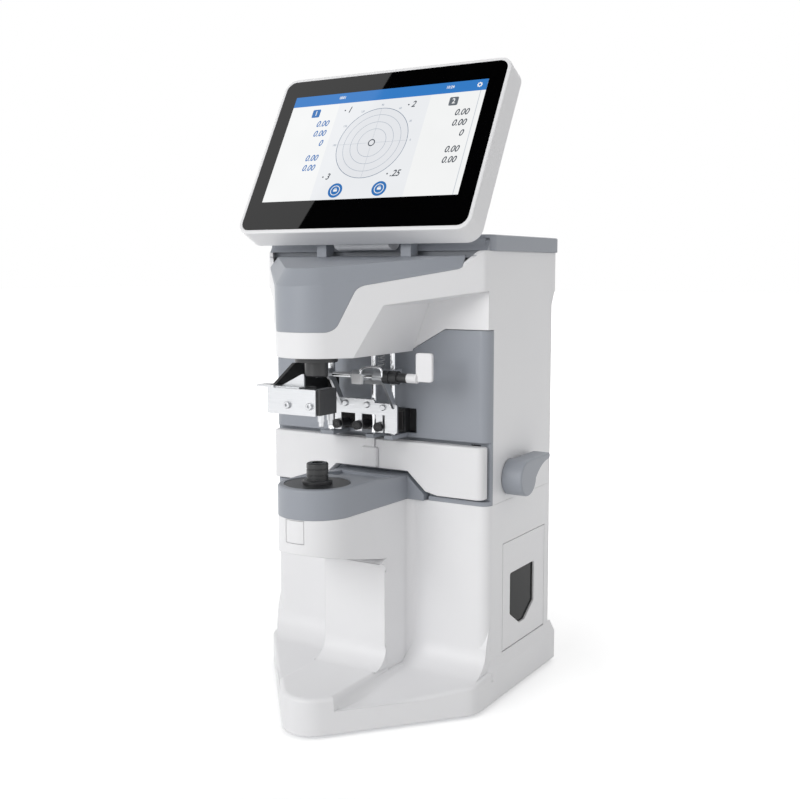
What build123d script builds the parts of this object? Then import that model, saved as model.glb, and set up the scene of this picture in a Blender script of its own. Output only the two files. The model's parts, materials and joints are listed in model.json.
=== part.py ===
from build123d import *
from math import atan2, cos, degrees, pi, radians, sin, sqrt, tan
import os

# An auto lensmeter with a tilting screen. Sizes are in millimetres and degrees.
# X is across, Y runs back from the optical axis, Z is up from the floor.

# Walls, seams and fits
wall = 2.8
panel_wall = 2.5
seam = 0.4
play = 0.3
run_fit = 0.05

# Column
column_half = 100.0
column_front = 77.6
column_back = 190.0
column_corner = 8.0
split_height = 155.0
housing_top = 346.0

# Base
base_nose = 23.0
base_nose_place = (8.5, -18.9)
base_flare = 40.8
base_half = 103.0
base_back = 199.0
base_corner = 18.0
base_bottom = 2.5
base_top = 19.3
base_slope = 5.4
base_edge_round = 3.0
pedestal_top = 26.0
pedestal_rise = 9.0
pan_thickness = 1.5
foot_radius = 10.0
foot_side = 82.0
foot_back = 176.0

# Head
head_nose = 28.5
flare = 40.5
head_bottom = 270.0
pod_half_low = 34.5
pod_half_high = 49.0
wing_height = 306.8
wing_rise = 9.5

# Line between the white head and the grey top cover, seen from the side
line_low = 288.3
line_foot_y = -13.8
line_knee_y = -1.0
line_knee = 320.1
line_hip_y = 57.5
line_hip = 332.6
line_end_y = 71.0

# Top cover: bevel band, sloping deck and cap
bevel_start = 324.9
bevel_slope = 8.7
bevel_inset = 6.5
deck_start = 335.3
deck_slope = 6.0
cap_half = 102.0
cap_top = 357.8
cap_back = 203.0
cap_sweep = 13.0

# Lower arm and web
arm_nose = 29.0
arm_flare = 2.3
arm_half = 32.0
arm_bottom = 114.0
arm_bottom_slope = 12.4
web_left = 25.0
web_front = 43.0
web_round = 6.0
throat_floor = 30.0
throat_edge_round = 3.5
throat_sweep = 16.0
throat_side_round = 6.0
throat_roof_sweep = 8.0
column_sweep = 20.0
heel_rise = 24.0

# Arm cover
cover_top = 177.0
cover_rear_top = 173.6
cover_slope_start = 30.0
cover_slope_end = 60.0
flange_front = 74.0
flange_half_low = 46.5
flange_half_high = 31.5
flange_low = 160.0
cover_round = 1.5
pocket_half = 24.0
pocket_front = 33.0
pocket_back = 66.0
pocket_depth = 2.5

# Nosepiece and plate
plate_radius = 24.5
plate_thickness = 2.0
nosepiece_radius = 8.0
nosepiece_foot_radius = 11.0
nosepiece_foot = 3.0
nosepiece_top = 192.0
nosepiece_bore = 4.0

# Front panel
panel_back = 86.0
panel_high = 287.6
panel_low = 270.2
panel_high_half = 63.0
panel_low_half = 32.0
niche_low = 158.4
niche_high = 203.0
niche_depth = 5.6
strip_half = 49.0

# Frame table
table_half = 97.5
table_front = 71.6
table_depth = 10.0
table_low = 160.7
table_high = 200.3
table_round = 5.0
table_edge = 1.5
notch_half_high = 33.5
notch_half_mid = 49.5
notch_half_low = 60.0
notch_high = 177.4
notch_mid = 163.0
table_travel = 38.0
arm_bar_x = 66.0
arm_bar_width = 8.0
arm_bar_low = 181.0
arm_bar_high = 190.0
crossbar_y = 126.0
crossbar_depth = 8.0
crossbar_low = 180.0
crossbar_high = 192.0
rail_x = 55.0
rail_radius = 3.0
rail_z = 186.0

# Pupil distance slider
slider_half = 7.0
slider_low = 178.0
slider_high = 194.0
slider_proud = 3.6
slider_travel = 40.0
strap_half = 4.0
strap_thickness = 1.2
groove_width = 3.0
groove_depth = 4.0

# Table lever and its gear
lever_y = 114.0
lever_z = 173.0
lever_hub = 14.0
lever_inner = 100.4
lever_hub_outer = 112.0
lever_paddle_inner = 103.5
lever_paddle_outer = 117.0
lever_tip_y = 154.0
lever_tip_z = 185.0
lever_tip_round = 2.6
shaft_radius = 4.0
shaft_inner = 74.0
gear_module = 1.5
gear_teeth = 30
gear_x = 84.0
gear_width = 6.0
gear_hub = 8.0
sector_teeth = 11
rack_teeth = 10
rack_end = 152.0
tooth_share = 0.40
tooth_top = 1.35
tooth_root = 1.9
bracket_x = 76.0
bracket_width = 3.0
bracket_height = 22.0
bush_radius = 6.5
bush_flange = 8.5

# Lamp under the head
lamp_radius = 15.6
lamp_flange = 4.0
snout_radius = 8.5
snout_bottom = 255.0
beam_radius = 4.5
lamp_body_gap = 2.2
lamp_top = 300.0
lamp_lens_radius = 9.0
lamp_lens_seat = 272.0

# Lens holder
holder_half = 12.5
holder_bar_left = -30.0
holder_bar_back = -6.5
holder_front = -13.5
holder_back = 7.0
holder_low = 228.5
holder_high = 247.0
slot_half = 5.5
slot_front = -9.0
holder_plate_left = -33.0
holder_plate_right = 10.0
holder_plate_thickness = 2.0
tab_left = -43.0
tab_right = -27.5
tab_height = 1.6
pin_radius = 2.6
pin_tip_radius = 1.9
pin_places = ((9.0, -7.0), (9.0, 4.0))
pin_tip = 219.6
ferrule_bottom = 223.5
holder_arm_left = -33.0
holder_arm_thickness = 3.0
holder_crest = 262.5
holder_foot = 232.0
gusset_peak = 257.0
holder_screw_places = (-14.7, 5.0)
holder_screw_z = 235.0
holder_travel = 24.0
guide_y = 62.0
holder_guide_x = -30.5
holder_guide_radius = 3.0
holder_boss = 6.0

# Marker
marker_y = 40.0
marker_z = 253.0
marker_shaft_radius = 2.0
marker_left = -17.6
marker_right = 60.5
marker_press = 22.0
marker_swing = 90.0
marker_guides = (9.5, 26.5)
marker_guide_radius = 2.2
carriage_left = 4.6
carriage_right = 31.0
carriage_low = 245.0
carriage_high = 257.0
collar_left = 33.0
collar_right = 45.0
collar_radius = 5.0
sleeve_right = 53.0
sleeve_radius = 3.6
boss_radius = 3.4
paddle_width = 13.5
paddle_height = 21.0
paddle_thickness = 2.4
pen_pitch = 19.0
pen_drop = 40.0
pen_radius = 3.6
pen_tip = 72.8
bracket_front = 54.0
bracket_thickness = 1.6
bracket_left = -23.5
bracket_step = 15.0
bracket_right = 35.0
bracket_top_drop = 19.5
wing_drop = 22.0
wing_start = 24.0
bracket_mid_drop = 31.0
finger_half = 3.0
finger_drop = 44.5
pen_cap = 3.0
pen_neck = 1.6
pen_point = 6.0
bracket_screw_places = ((-11.8, 4.0), (8.0, 4.3), (22.5, 5.6))
ear_left = (5.0, 12.5)
ear_right = (24.0, 30.0)
ear_half = 4.0
cheek_left = (-17.0, -14.8)
cheek_right = (30.4, 32.6)
cheek_radius = 4.5
cheek_half = 3.0
cheek_reach = 6.0
carriage_front = 56.0
carriage_back = 68.0
spring_x = 17.5
spring_y = 60.0
spring_radius = 2.3
spring_wire = 0.9
spring_half_turns = 8
bracket_foot_low = 203.5
bracket_foot_high = 206.5

# Ink cartridge
ink_left = -30.0
ink_right = 30.0
ink_low = 206.8
ink_high = 225.2
ink_front = 74.2
ink_depth = 18.0
ink_slot_right = 38.0

# Read button
button_width = 16.0
button_height = 17.0
button_z = 146.0
button_press = 1.2

# Printer bay in the right side
door_front = 104.0
door_back = 182.0
door_low = 34.8
door_high = 121.4
window_front = 117.3
window_back = 162.0
window_high = 95.0
window_shoulder = 62.0
window_low = 50.5
window_rebate = 1.5
window_round = 2.0
window_thickness = 1.2
door_swing = 75.0
door_pin_radius = 1.0
door_pin_length = 3.0
roll_radius = 24.0
roll_width = 57.0
roll_x = 60.0
roll_z = 74.0
platen_radius = 6.0
platen_pin = 2.5
spindle_radius = 6.0
platen_x = 84.0
platen_z = 108.0
bay_front = 110.0
bay_back = 174.0
cheek_thickness = 2.0
printer_left = 34.0
printer_right = 93.0
printer_high = 118.0

# Seat of the sensor in the arm
sensor_seat_radius = 14.0
sensor_floor = 132.5

# Display
screen_tilt = 28.5
screen_y = 74.0
screen_z = 428.8
screen_width = 209.0
screen_up = 68.6
screen_down = 77.8
screen_corner = 11.0
screen_depth = 21.0
screen_back_round = 2.0
glass_width = 202.8
glass_up = 65.5
glass_down = 74.7
glass_corner = 8.0
glass_thickness = 1.8
lcd_width = 184.0
lcd_height = 112.0
lcd_thickness = 4.0
hinge_y = 66.0
hinge_z = 356.2
hinge_radius = 9.5
neck_reach = 28.0
neck_bite = 4.0
neck_half = 25.0
post_inner = 34.0
post_outer = 43.0
post_radius = 5.0
hinge_pin_radius = 3.0
tilt_back = 25.0
tilt_up = 20.0

# Frame inside
chassis_y = 156.0
chassis_thickness = 2.5
chassis_half = 85.0
chassis_low_half = 20.0
chassis_step = 132.0
chassis_high = 330.0
standoff = 4.0
board_half = 70.0
board_low = 210.0
board_high = 310.0
supply_left = -82.0
supply_right = -28.0
supply_depth = 24.0
supply_low = 95.0
supply_high = 170.0
board_thickness = 1.6

# Rear
rear_low_depth = 5.1
rear_bulge_depth = 11.4
rear_bulge_low = 311.0
rear_bulge_high = 323.0
inlet_x = -60.0
inlet_z = 62.0
switch_x = -25.0
rear_round = 5.0
rear_screw_radius = 3.0
rear_screw_core = 1.5
rear_screw_sink = 2.4
rear_screw_x = 90.0
rear_screw_low = 50.0
rear_screw_high = 295.0
vent_rows = 7
vent_low = 225.0
vent_pitch = 8.0
vent_height = 3.0
vent_half = 45.0
inlet_width = 27.5
inlet_height = 20.0
switch_width = 13.0
switch_height = 20.0
switch_y = 188.0
switch_pin = 1.5
switch_tilt = 10.0
inlet_depth = 18.0
inlet_socket_width = 24.0
inlet_socket_height = 16.5


def block(x0, x1, y0, y1, z0, z1):
    return Pos((x0 + x1) / 2, (y0 + y1) / 2, (z0 + z1) / 2) * Box(x1 - x0, y1 - y0, z1 - z0)


def rod_x(radius, x0, x1, y, z):
    return Pos((x0 + x1) / 2, y, z) * Rot(0, 90, 0) * Cylinder(radius, x1 - x0)


def rod_y(radius, x, y0, y1, z):
    return Pos(x, (y0 + y1) / 2, z) * Rot(90, 0, 0) * Cylinder(radius, y1 - y0)


def rod_z(radius, x, y, z0, z1):
    return Pos(x, y, (z0 + z1) / 2) * Cylinder(radius, z1 - z0)


def rise(sketch, z0, z1):
    return extrude(Pos(0, 0, z0) * sketch, z1 - z0)


def across(outline, x0, x1):
    """Extrude a (y, z) face along X."""
    return extrude(Plane.YZ.offset(x0) * outline, x1 - x0)


def along(outline, y0, y1):
    """Extrude an (x, z) face along Y."""
    face = Plane((0, y0, 0), x_dir=(1, 0, 0), z_dir=(0, -1, 0)) * outline
    return extrude(face, y0 - y1)


def shape(*points):
    return make_face(Polyline(*points, close=True))


def both_sides(part):
    return part + mirror(part, about=Plane.YZ)


def flared_plan(nose, angle, half, back, corner, place=(0, 0)):
    """Plan with a round nose about a place and straight sides that flare to the full width."""
    turn = radians(angle)
    x, y = place
    left = (x - nose * cos(turn), y - nose * sin(turn))
    right = (x + nose * cos(turn), y - nose * sin(turn))
    bend_left = y + ((half + x) * cos(turn) - nose) / sin(turn)
    bend_right = y + ((half - x) * cos(turn) - nose) / sin(turn)
    front = ThreePointArc(left, (x, y - nose), right)
    sides = Polyline(
        right, (half, bend_right), (half, back), (-half, back), (-half, bend_left), left
    )
    plan = make_face([front, sides])
    bends = [v for v in plan.vertices() if abs(abs(v.X) - half) < 0.01 and v.Y < back - 0.01]
    return fillet(bends, corner)


def base_plan(inset):
    return flared_plan(
        base_nose - inset, base_flare, base_half - inset, base_back - inset, base_corner - inset,
        base_nose_place,
    )


def column_plan(inset, back):
    half = column_half - inset
    front = column_front + inset
    plan = Pos(0, (front + back) / 2) * Rectangle(2 * half, back - front)
    corners = [v for v in plan.vertices() if abs(v.Y - front) < 0.01]
    return fillet(corners, column_corner - inset)


def arm_plan(inset, front):
    plan = flared_plan(arm_nose - inset, arm_flare, arm_half - inset, column_front + column_corner, 1.0)
    return plan & (Pos(0, front + 100) * Rectangle(4 * arm_half, 200))


def corner_fill(x, y, radius, z0, z1):
    """Concave upright round where a side at x meets a front at y."""
    square = Pos(x + radius / 2, y - radius / 2) * Rectangle(radius, radius)
    return both_sides(rise(square - Pos(x + radius, y - radius) * Circle(radius), z0, z1))


def sweep_fill(y, z, radius, x0, x1, slope=0, up=1):
    """Concave round between a wall at y and a floor, or a roof (up=-1), that leaves it forwards."""
    corner = Vector(y, z)
    wall_way = Vector(0, up)
    floor_way = Vector(-cos(radians(slope)), -up * sin(radians(slope)))
    half_angle = radians(wall_way.get_angle(floor_way) / 2)
    reach = radius / tan(half_angle)
    inward = (wall_way + floor_way).normalized()
    middle = corner + inward * (radius / sin(half_angle))
    points = [corner + wall_way * reach, corner - inward, corner + floor_way * reach]
    face = shape(*[(p.X, p.Y) for p in points]) - Pos(middle.X, middle.Y) * Circle(radius)
    return across(face, x0, x1)


def base_level(y):
    return base_top + y * tan(radians(base_slope))


def base_slab(inset):
    """Wedge of the base, whose top rises to the back, with a wall's inset all round."""
    slab = rise(base_plan(inset), base_bottom, base_level(base_back))
    return slab - tilted_half_space(base_top - inset, base_slope)


def throat_plan(inset):
    """Raised floor under the arm, from the nose of the base to the web."""
    back = web_front + wall + inset
    front = base_nose_place[1] - base_nose
    plan = base_plan(inset) & (Pos(0, (front + back) / 2) * Rectangle(4 * arm_half, back - front))
    left = -web_left + inset
    right = arm_half - inset
    return plan & (Pos((left + right) / 2, 0) * Rectangle(right - left, 4 * back))


def web_plan(inset, front):
    left = -web_left + inset
    return arm_plan(inset, front) & (Pos(left + arm_half, 0) * Rectangle(2 * arm_half, 4 * column_back))


def arm_roof(y):
    """Level of the arm's underside, which rises to the nose."""
    return arm_bottom + (web_front - y) * tan(radians(arm_bottom_slope))


def under_arm(lift):
    """Space below the arm, in front of the web."""
    nose = -arm_nose - 1
    side = shape(
        (nose, base_bottom), (nose, arm_roof(nose) + lift), (web_front + lift, arm_roof(web_front + lift) + lift),
        (web_front + lift, base_bottom),
    )
    return across(side, -2 * arm_half, 2 * arm_half)


def corner_heel():
    """Brings the sharp ends of the column's sweep into its round corners."""
    low = base_level(column_front)
    top = low + column_sweep / tan(radians((90 + base_slope) / 2))
    back = column_front + column_corner
    side = shape((column_front, low), (column_front, top), (back, top + heel_rise), (back, low))
    return across(side, -column_half, column_half)


def throat_side():
    """Concave round along the right foot of the raised throat floor."""
    front = base_nose_place[1] - base_nose
    level = base_level(front)
    r = throat_side_round
    corner = Pos(arm_half + r / 2 - 0.5, level + r / 2 - 0.5) * Rectangle(r + 1, r + 1)
    face = corner - Pos(arm_half + r, level + r) * Circle(r)
    face = Plane((0, front, 0), x_dir=(1, 0, 0), z_dir=(0, -1, 0)) * face
    way = (0, cos(radians(base_slope)), sin(radians(base_slope)))
    return extrude(face, column_front - front, dir=way)


def deck_z(y):
    return deck_start + y * tan(radians(deck_slope))


def tilted_half_space(start, slope):
    """Everything above a level that rises to the back."""
    reach = 400
    low = start - reach * tan(radians(slope))
    high = start + reach * tan(radians(slope))
    return across(shape((-reach, low), (reach, high), (reach, 900), (-reach, 900)), -reach, reach)


def head_line():
    """Region above the line between the white head and the grey cover."""
    line = FilletPolyline(
        (-60, line_low),
        (line_foot_y, line_low),
        (line_knee_y, line_knee),
        (line_hip_y, line_hip),
        (line_end_y, housing_top),
        (column_front, housing_top),
        radius=[9, 9, 6, 4],
    )
    top = Polyline((column_front, housing_top), (column_front, 420), (-60, 420), (-60, line_low))
    return across(make_face([line, top]), -150, 150)


def wing_cut(grow):
    """Space under each wing of the head, beside the pod."""
    far = 2 * column_half
    side_cut = shape(
        (pod_half_low, head_bottom - 30),
        (pod_half_low, head_bottom),
        (pod_half_high, wing_height),
        (column_half, wing_height + wing_rise),
        (far, wing_height + wing_rise),
        (far, head_bottom - 30),
    )
    if grow > 0:
        side_cut = offset(side_cut, grow, kind=Kind.INTERSECTION)
    return both_sides(along(side_cut, -60, column_front + grow))


def make_lower_housing():
    front_slab = base_slab(0)
    top = front_slab.faces().sort_by(Axis.Z)[-1]
    front_slab = fillet(top.edges(), base_edge_round)
    front_slab &= block(-base_half, base_half, -base_half, column_front + base_edge_round, 0, pedestal_top * 2)
    body = front_slab + rise(base_plan(0), base_bottom, base_top) & block(
        -base_half, base_half, -base_half, base_back, 0, pedestal_top * 2
    )
    foot_front = column_front - (base_half - column_half)
    foot_plan = Pos(0, (foot_front + base_back) / 2) * Rectangle(2 * base_half, base_back - foot_front)
    foot_plan = fillet(
        [v for v in foot_plan.vertices() if v.Y < column_front], column_corner + base_half - column_half
    )
    pedestal = rise(foot_plan, base_top - base_edge_round, pedestal_top)
    lean = degrees(atan2(base_half - column_half, pedestal_rise))
    pedestal += extrude(Pos(0, 0, pedestal_top) * foot_plan, pedestal_rise, taper=lean)
    body += pedestal
    floor_body = rise(throat_plan(0), base_bottom, throat_floor)
    edges = floor_body.faces().sort_by(Axis.Z)[-1].edges()
    floor_body = fillet([e for e in edges if e.center().Y < web_front], throat_edge_round)
    body += floor_body
    body += throat_side() & rise(base_plan(base_edge_round), 0, throat_floor - throat_edge_round)
    body += rise(column_plan(0, column_back), base_bottom, split_height)
    body += rise(web_plan(0, web_front), base_bottom, split_height)
    body += rise(arm_plan(0, -arm_nose), arm_bottom, split_height) - under_arm(0)
    body += corner_fill(arm_half, column_front, web_round, base_top, split_height)
    sweep = sweep_fill(
        column_front, base_level(column_front), column_sweep, -column_half, column_half, base_slope
    )
    body += (sweep + corner_heel()) & rise(base_plan(base_edge_round + play), 0, 100)
    body += sweep_fill(web_front, throat_floor, throat_sweep, -web_left, arm_half)
    body += sweep_fill(
        web_front, arm_bottom, throat_roof_sweep, -web_left, arm_half, -arm_bottom_slope, up=-1
    )
    hollow = base_slab(wall) & block(-base_half, base_half, -base_half, column_front, 0, 100)
    hollow += rise(base_plan(wall), base_bottom, base_top - wall)
    hollow += rise(throat_plan(wall), base_bottom, throat_floor - wall)
    hollow += rise(column_plan(wall, column_back), base_bottom, split_height)
    hollow += rise(web_plan(wall, web_front + wall), base_bottom, split_height)
    hollow += rise(arm_plan(wall, -arm_nose), arm_bottom, split_height) - under_arm(wall)
    body -= hollow
    body += rod_z(sensor_seat_radius, 0, 0, arm_bottom, sensor_floor) - under_arm(0)
    body -= back_opening(base_bottom, split_height)
    x, z = door_pivot()
    reach = door_pin_length + play
    body -= rod_y(door_pin_radius + run_fit, x, door_front - reach, door_back + reach, z)
    return body - door_opening() - button_hole()


def door_opening():
    return block(column_half - 2 * wall, column_half + 5, door_front, door_back, door_low, door_high)


def button_hole():
    return block(
        -button_width / 2, button_width / 2, -arm_nose - 5, -arm_nose + 10,
        button_z - button_height / 2, button_z + button_height / 2,
    )


def back_opening(z0, z1):
    half = column_half - wall
    return block(-half, half, column_back - 10, column_back, z0, z1)


def panel_line(y0, y1):
    """Column front below the line where the grey panel meets the white head."""
    far = 2 * column_half
    face = shape(
        (-far, split_height - 10), (far, split_height - 10), (far, panel_high), (panel_high_half, panel_high),
        (panel_low_half, panel_low), (-panel_low_half, panel_low), (-panel_high_half, panel_high),
        (-far, panel_high),
    )
    return along(face, y0, y1)


def make_upper_housing():
    body = rise(column_plan(0, column_back), split_height, housing_top)
    head_plan = flared_plan(head_nose, flare, column_half, column_front + 20, column_corner)
    head = rise(head_plan, head_bottom, housing_top)
    head -= head_line()
    head -= wing_cut(0)
    body += head
    hollow_plan = flared_plan(
        head_nose - wall, flare, column_half - wall, column_front + 30, column_corner - wall
    )
    hollow = rise(hollow_plan, head_bottom + wall, housing_top)
    hollow -= wing_cut(wall)
    hollow += rise(column_plan(wall, column_back), split_height, housing_top)
    body -= hollow
    body -= back_opening(split_height, housing_top)
    body -= panel_line(column_front - 0.01, panel_back)
    body -= rod_z(lamp_radius - lamp_body_gap + play, 0, 0, head_bottom, head_bottom + wall)
    body -= rod_x(bush_radius, column_half - 2 * wall, column_half + 1, lever_y, lever_z)
    return body


def cut_prism(inset, start, slope):
    """Head plan prism, moved inwards by the inset and closed by a sloping top."""
    plan = flared_plan(
        head_nose - inset, flare, column_half - inset, column_front + 40, column_corner - inset
    )
    return rise(plan, head_bottom, 400) - tilted_half_space(start, slope)


def nose_body(inset):
    """Solid under the deck and the bevel band, with its walls moved inwards by the inset."""
    body = cut_prism(inset, bevel_start - inset / 2, bevel_slope)
    low = body.faces().sort_by(Axis.Z)[-1]
    inner = cut_prism(bevel_inset + inset / 2, deck_start - inset, deck_slope)
    high = inner.faces().sort_by(Axis.Z)[-1]
    return body + loft([low, high], ruled=True)


def make_top_cover():
    nose = nose_body(0) & block(-150, 150, -100, column_front + wall, 200, 400)
    nose &= head_line()
    tongue_half = column_half - wall - play
    tongue = block(
        -tongue_half, tongue_half, column_front - 1, column_front + 2 * wall,
        deck_z(column_front) - wall, cap_top - wall,
    )
    sweep = sweep_fill(
        column_front, deck_z(column_front), cap_sweep, -column_half, column_half, deck_slope
    )
    sweep &= rise(flared_plan(head_nose, flare, column_half, column_front + 40, column_corner), 330, 400)
    sweep &= head_line()
    cap_plan = Pos(0, (column_front + cap_back) / 2) * Rectangle(2 * cap_half, cap_back - column_front)
    cap_plan = fillet(cap_plan.vertices(), column_corner)
    cap = rise(cap_plan, housing_top, cap_top)
    cap = fillet(cap.faces().sort_by(Axis.Z)[-1].edges(), 1.5)
    body = nose + tongue + cap + sweep
    hollow = nose_body(wall) & block(-150, 150, -100, column_front + 1, 200, 400)
    hollow += rise(offset(cap_plan, -wall), housing_top - 1, cap_top - wall)
    body -= hollow
    return body


def make_rear_cover():
    low = column_back + rear_low_depth
    deep = column_back + rear_bulge_depth
    bottom = pedestal_top + pedestal_rise
    outer = shape(
        (column_back, bottom), (low, bottom), (low, rear_bulge_low), (deep, rear_bulge_high),
        (deep, housing_top), (column_back, housing_top),
    )
    body = across(outer, -column_half, column_half)
    outer_edges = [e for e in body.edges() if abs(e.center().X) > column_half - 1 and e.length > 20]
    body = fillet([e for e in outer_edges if e.center().Y > low - 0.01], rear_round)
    inner = low - panel_wall
    deep_inner = deep - panel_wall
    bay = shape(
        (column_back - 1, bottom + wall), (inner, bottom + wall), (inner, rear_bulge_low),
        (deep_inner, rear_bulge_high), (deep_inner, housing_top + 1), (column_back - 1, housing_top + 1),
    )
    body -= across(bay, wall - column_half, column_half - wall)
    for row in range(vent_rows):
        z = vent_low + row * vent_pitch
        body -= block(-vent_half, vent_half, column_back, low + 1, z, z + vent_height)
    body -= inlet_hole() + switch_hole()
    for x, z in rear_screw_places():
        body += rod_y(rear_screw_radius + 3, x, column_back, low - 0.5, z)
        body -= rod_y(rear_screw_radius + 0.4, x, low - rear_screw_sink, low + 1, z)
        body -= rod_y(rear_screw_core + play, x, column_back - 1, low, z)
    for side in (-1, 1):
        near = switch_x + side * switch_width / 2
        far = switch_x + side * (switch_width / 2 + 3)
        body += block(
            min(near, far), max(near, far), switch_y - 4, low - panel_wall,
            inlet_z - 4, inlet_z + 4,
        )
    body -= rod_x(
        switch_pin + run_fit, switch_x - switch_width / 2 - 3, switch_x + switch_width / 2 + 3,
        switch_y, inlet_z,
    )
    return body


def rear_screw_places():
    return [(x, z) for x in (-rear_screw_x, rear_screw_x) for z in (rear_screw_low, rear_screw_high)]


def make_rear_screws():
    low = column_back + rear_low_depth
    screws = []
    for x, z in rear_screw_places():
        seat = low - rear_screw_sink
        head = rod_y(rear_screw_radius, x, seat, seat + 1.8, z)
        head -= block(x - 2, x + 2, seat + 0.9, low, z - 0.4, z + 0.4)
        head -= block(x - 0.4, x + 0.4, seat + 0.9, low, z - 2, z + 2)
        screws.append(head + rod_y(rear_screw_core, x, column_back - 4, seat, z))
    return screws


def inlet_hole():
    return block(
        inlet_x - inlet_width / 2, inlet_x + inlet_width / 2, column_back - 1, column_back + 20,
        inlet_z - inlet_height / 2, inlet_z + inlet_height / 2,
    )


def switch_hole():
    return block(
        switch_x - switch_width / 2, switch_x + switch_width / 2, column_back - 1, column_back + 20,
        inlet_z - switch_height / 2, inlet_z + switch_height / 2,
    )


def make_base_pan():
    fit = wall + play
    pan = rise(
        base_plan(fit), base_bottom, base_bottom + pan_thickness,
    )
    for x in (-60, -20, 20, 60):
        pan -= block(x - 12, x + 12, 140, 143, 0, 10) + block(x - 12, x + 12, 148, 151, 0, 10)
    return pan


def foot(x, y):
    return rod_z(foot_radius, x, y, 0, base_bottom)


def make_front_panel():
    lip = panel_wall
    outer = rise(column_plan(0, panel_back), split_height, panel_high)
    inner = rise(column_plan(lip, panel_back + 20), split_height - 1, panel_high + 1)
    panel = outer - inner
    niche_y = column_front + niche_depth
    panel -= block(-200, 200, 0, niche_y, niche_low, niche_high)
    back_half = column_half
    niche = block(-back_half, back_half, niche_y, panel_back, niche_low - lip, niche_high + lip)
    niche += block(-back_half, back_half, column_front + lip, panel_back, niche_high, niche_high + lip)
    niche += block(-back_half, back_half, column_front + lip, panel_back, niche_low - lip, niche_low)
    niche &= rise(column_plan(0, panel_back), 0, 400)
    panel += niche
    top = shape(
        (-200, 400), (-200, panel_high - seam), (-panel_high_half, panel_high - seam),
        (-panel_low_half, panel_low - seam), (panel_low_half, panel_low - seam),
        (panel_high_half, panel_high - seam), (200, panel_high - seam), (200, 400),
    )
    panel -= along(top, 0, 200)
    panel -= block(-200, 200, 0, 200, 0, split_height)
    panel -= along(flange_outline(play), 0, 200)
    panel -= block(-strip_half, strip_half, 0, niche_y, 0, niche_low)
    panel -= block(ink_left - play, ink_slot_right, 0, 200, ink_low - play, ink_high + play)
    for side in (-1, 1):
        x = side * arm_bar_x
        half = arm_bar_width / 2 + 1
        panel -= block(x - half, x + half, 0, 200, arm_bar_low - 1, arm_bar_high + 1)
    rack_half = gear_width / 2 + 1
    rack_mid = gear_x + gear_width / 2
    panel -= block(
        rack_mid - rack_half, rack_mid + rack_half, 0, 200,
        pitch_height() - tooth_top - 1, table_high + play,
    )
    return panel


def flange_outline(grow):
    low = split_height
    return shape(
        (-flange_half_low - grow, low), (-flange_half_low - grow, flange_low + grow),
        (-flange_half_high - grow, cover_rear_top + grow), (flange_half_high + grow, cover_rear_top + grow),
        (flange_half_low + grow, flange_low + grow), (flange_half_low + grow, low),
    )


def make_arm_cover():
    back = column_front + niche_depth
    body = rise(arm_plan(0, -arm_nose), split_height, cover_top) & block(-100, 100, -100, back, 0, 400)
    fall = shape(
        (cover_slope_start, cover_top), (cover_slope_end, cover_rear_top), (200, cover_rear_top),
        (200, cover_top + 10), (cover_slope_start, cover_top + 10),
    )
    body -= across(fall, -100, 100)
    rim = [e for e in body.edges() if e.center().Z > cover_top - 0.01]
    body = fillet([e for e in rim if e.center().Y < cover_slope_start - 5], cover_round)
    body += along(flange_outline(0), flange_front, back)
    front_roof = cover_top - wall - plate_thickness
    rear_roof = cover_rear_top - wall - pocket_depth
    hollow = rise(arm_plan(wall, -arm_nose), split_height - 1, front_roof)
    roof_fall = shape(
        (cover_slope_start, front_roof), (cover_slope_end, rear_roof), (200, rear_roof),
        (200, cover_top), (cover_slope_start, cover_top),
    )
    body -= hollow - across(roof_fall, -100, 100)
    body -= rod_z(plate_radius + 0.1, 0, 0, cover_top - plate_thickness, cover_top + 1)
    body -= rod_z(nosepiece_bore, 0, 0, 0, 300)
    body -= block(-pocket_half, pocket_half, pocket_front, pocket_back, cover_rear_top - pocket_depth, 300)
    return body


def make_nosepiece_plate():
    plate = rod_z(plate_radius, 0, 0, cover_top - plate_thickness, cover_top - 0.3)
    top = plate.faces().sort_by(Axis.Z)[-1]
    plate = chamfer(top.edges(), 0.5)
    return plate - rod_z(nosepiece_bore, 0, 0, 0, 300)


def make_nosepiece():
    base = cover_top - 0.3
    body = rod_z(nosepiece_foot_radius, 0, 0, base, base + nosepiece_foot)
    body = chamfer(body.faces().sort_by(Axis.Z)[-1].edges(), 1)
    body += rod_z(nosepiece_radius, 0, 0, base, nosepiece_top)
    body = fillet(body.faces().sort_by(Axis.Z)[-1].edges(), 1.2)
    ring = rod_z(nosepiece_radius + 1, 0, 0, 0, 0.8) - rod_z(nosepiece_radius - 0.5, 0, 0, 0, 0.8)
    for height in (6, 10.5):
        body -= Pos(0, 0, base + height) * ring
    return body - rod_z(nosepiece_bore, 0, 0, 0, 300)


def make_sensor_lens():
    z = split_height + 2
    lens = rod_z(9, 0, 0, z, z + 4)
    dome = Pos(0, 0, z + 4 - 22 + 1.8) * Sphere(22)
    return lens + (dome & rod_z(9, 0, 0, z + 3.9, z + 8))


def make_sensor_mount():
    floor = sensor_floor
    z = split_height + 2
    tube = rod_z(12, 0, 0, floor, z + 3) - rod_z(9, 0, 0, z, z + 5) - rod_z(7.5, 0, 0, floor + 14, z + 1)
    tube -= block(-9, 9, -7, 7, floor + 10, floor + 14.01)
    return tube - rod_z(5, 0, 0, floor - 1, floor + 5)


def make_sensor_board():
    floor = sensor_floor + 10
    board = block(-8.6, 8.6, -6.6, 6.6, floor, floor + board_thickness)
    return board + block(-4, 4, -4, 4, floor + board_thickness, floor + board_thickness + 1.2)


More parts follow.
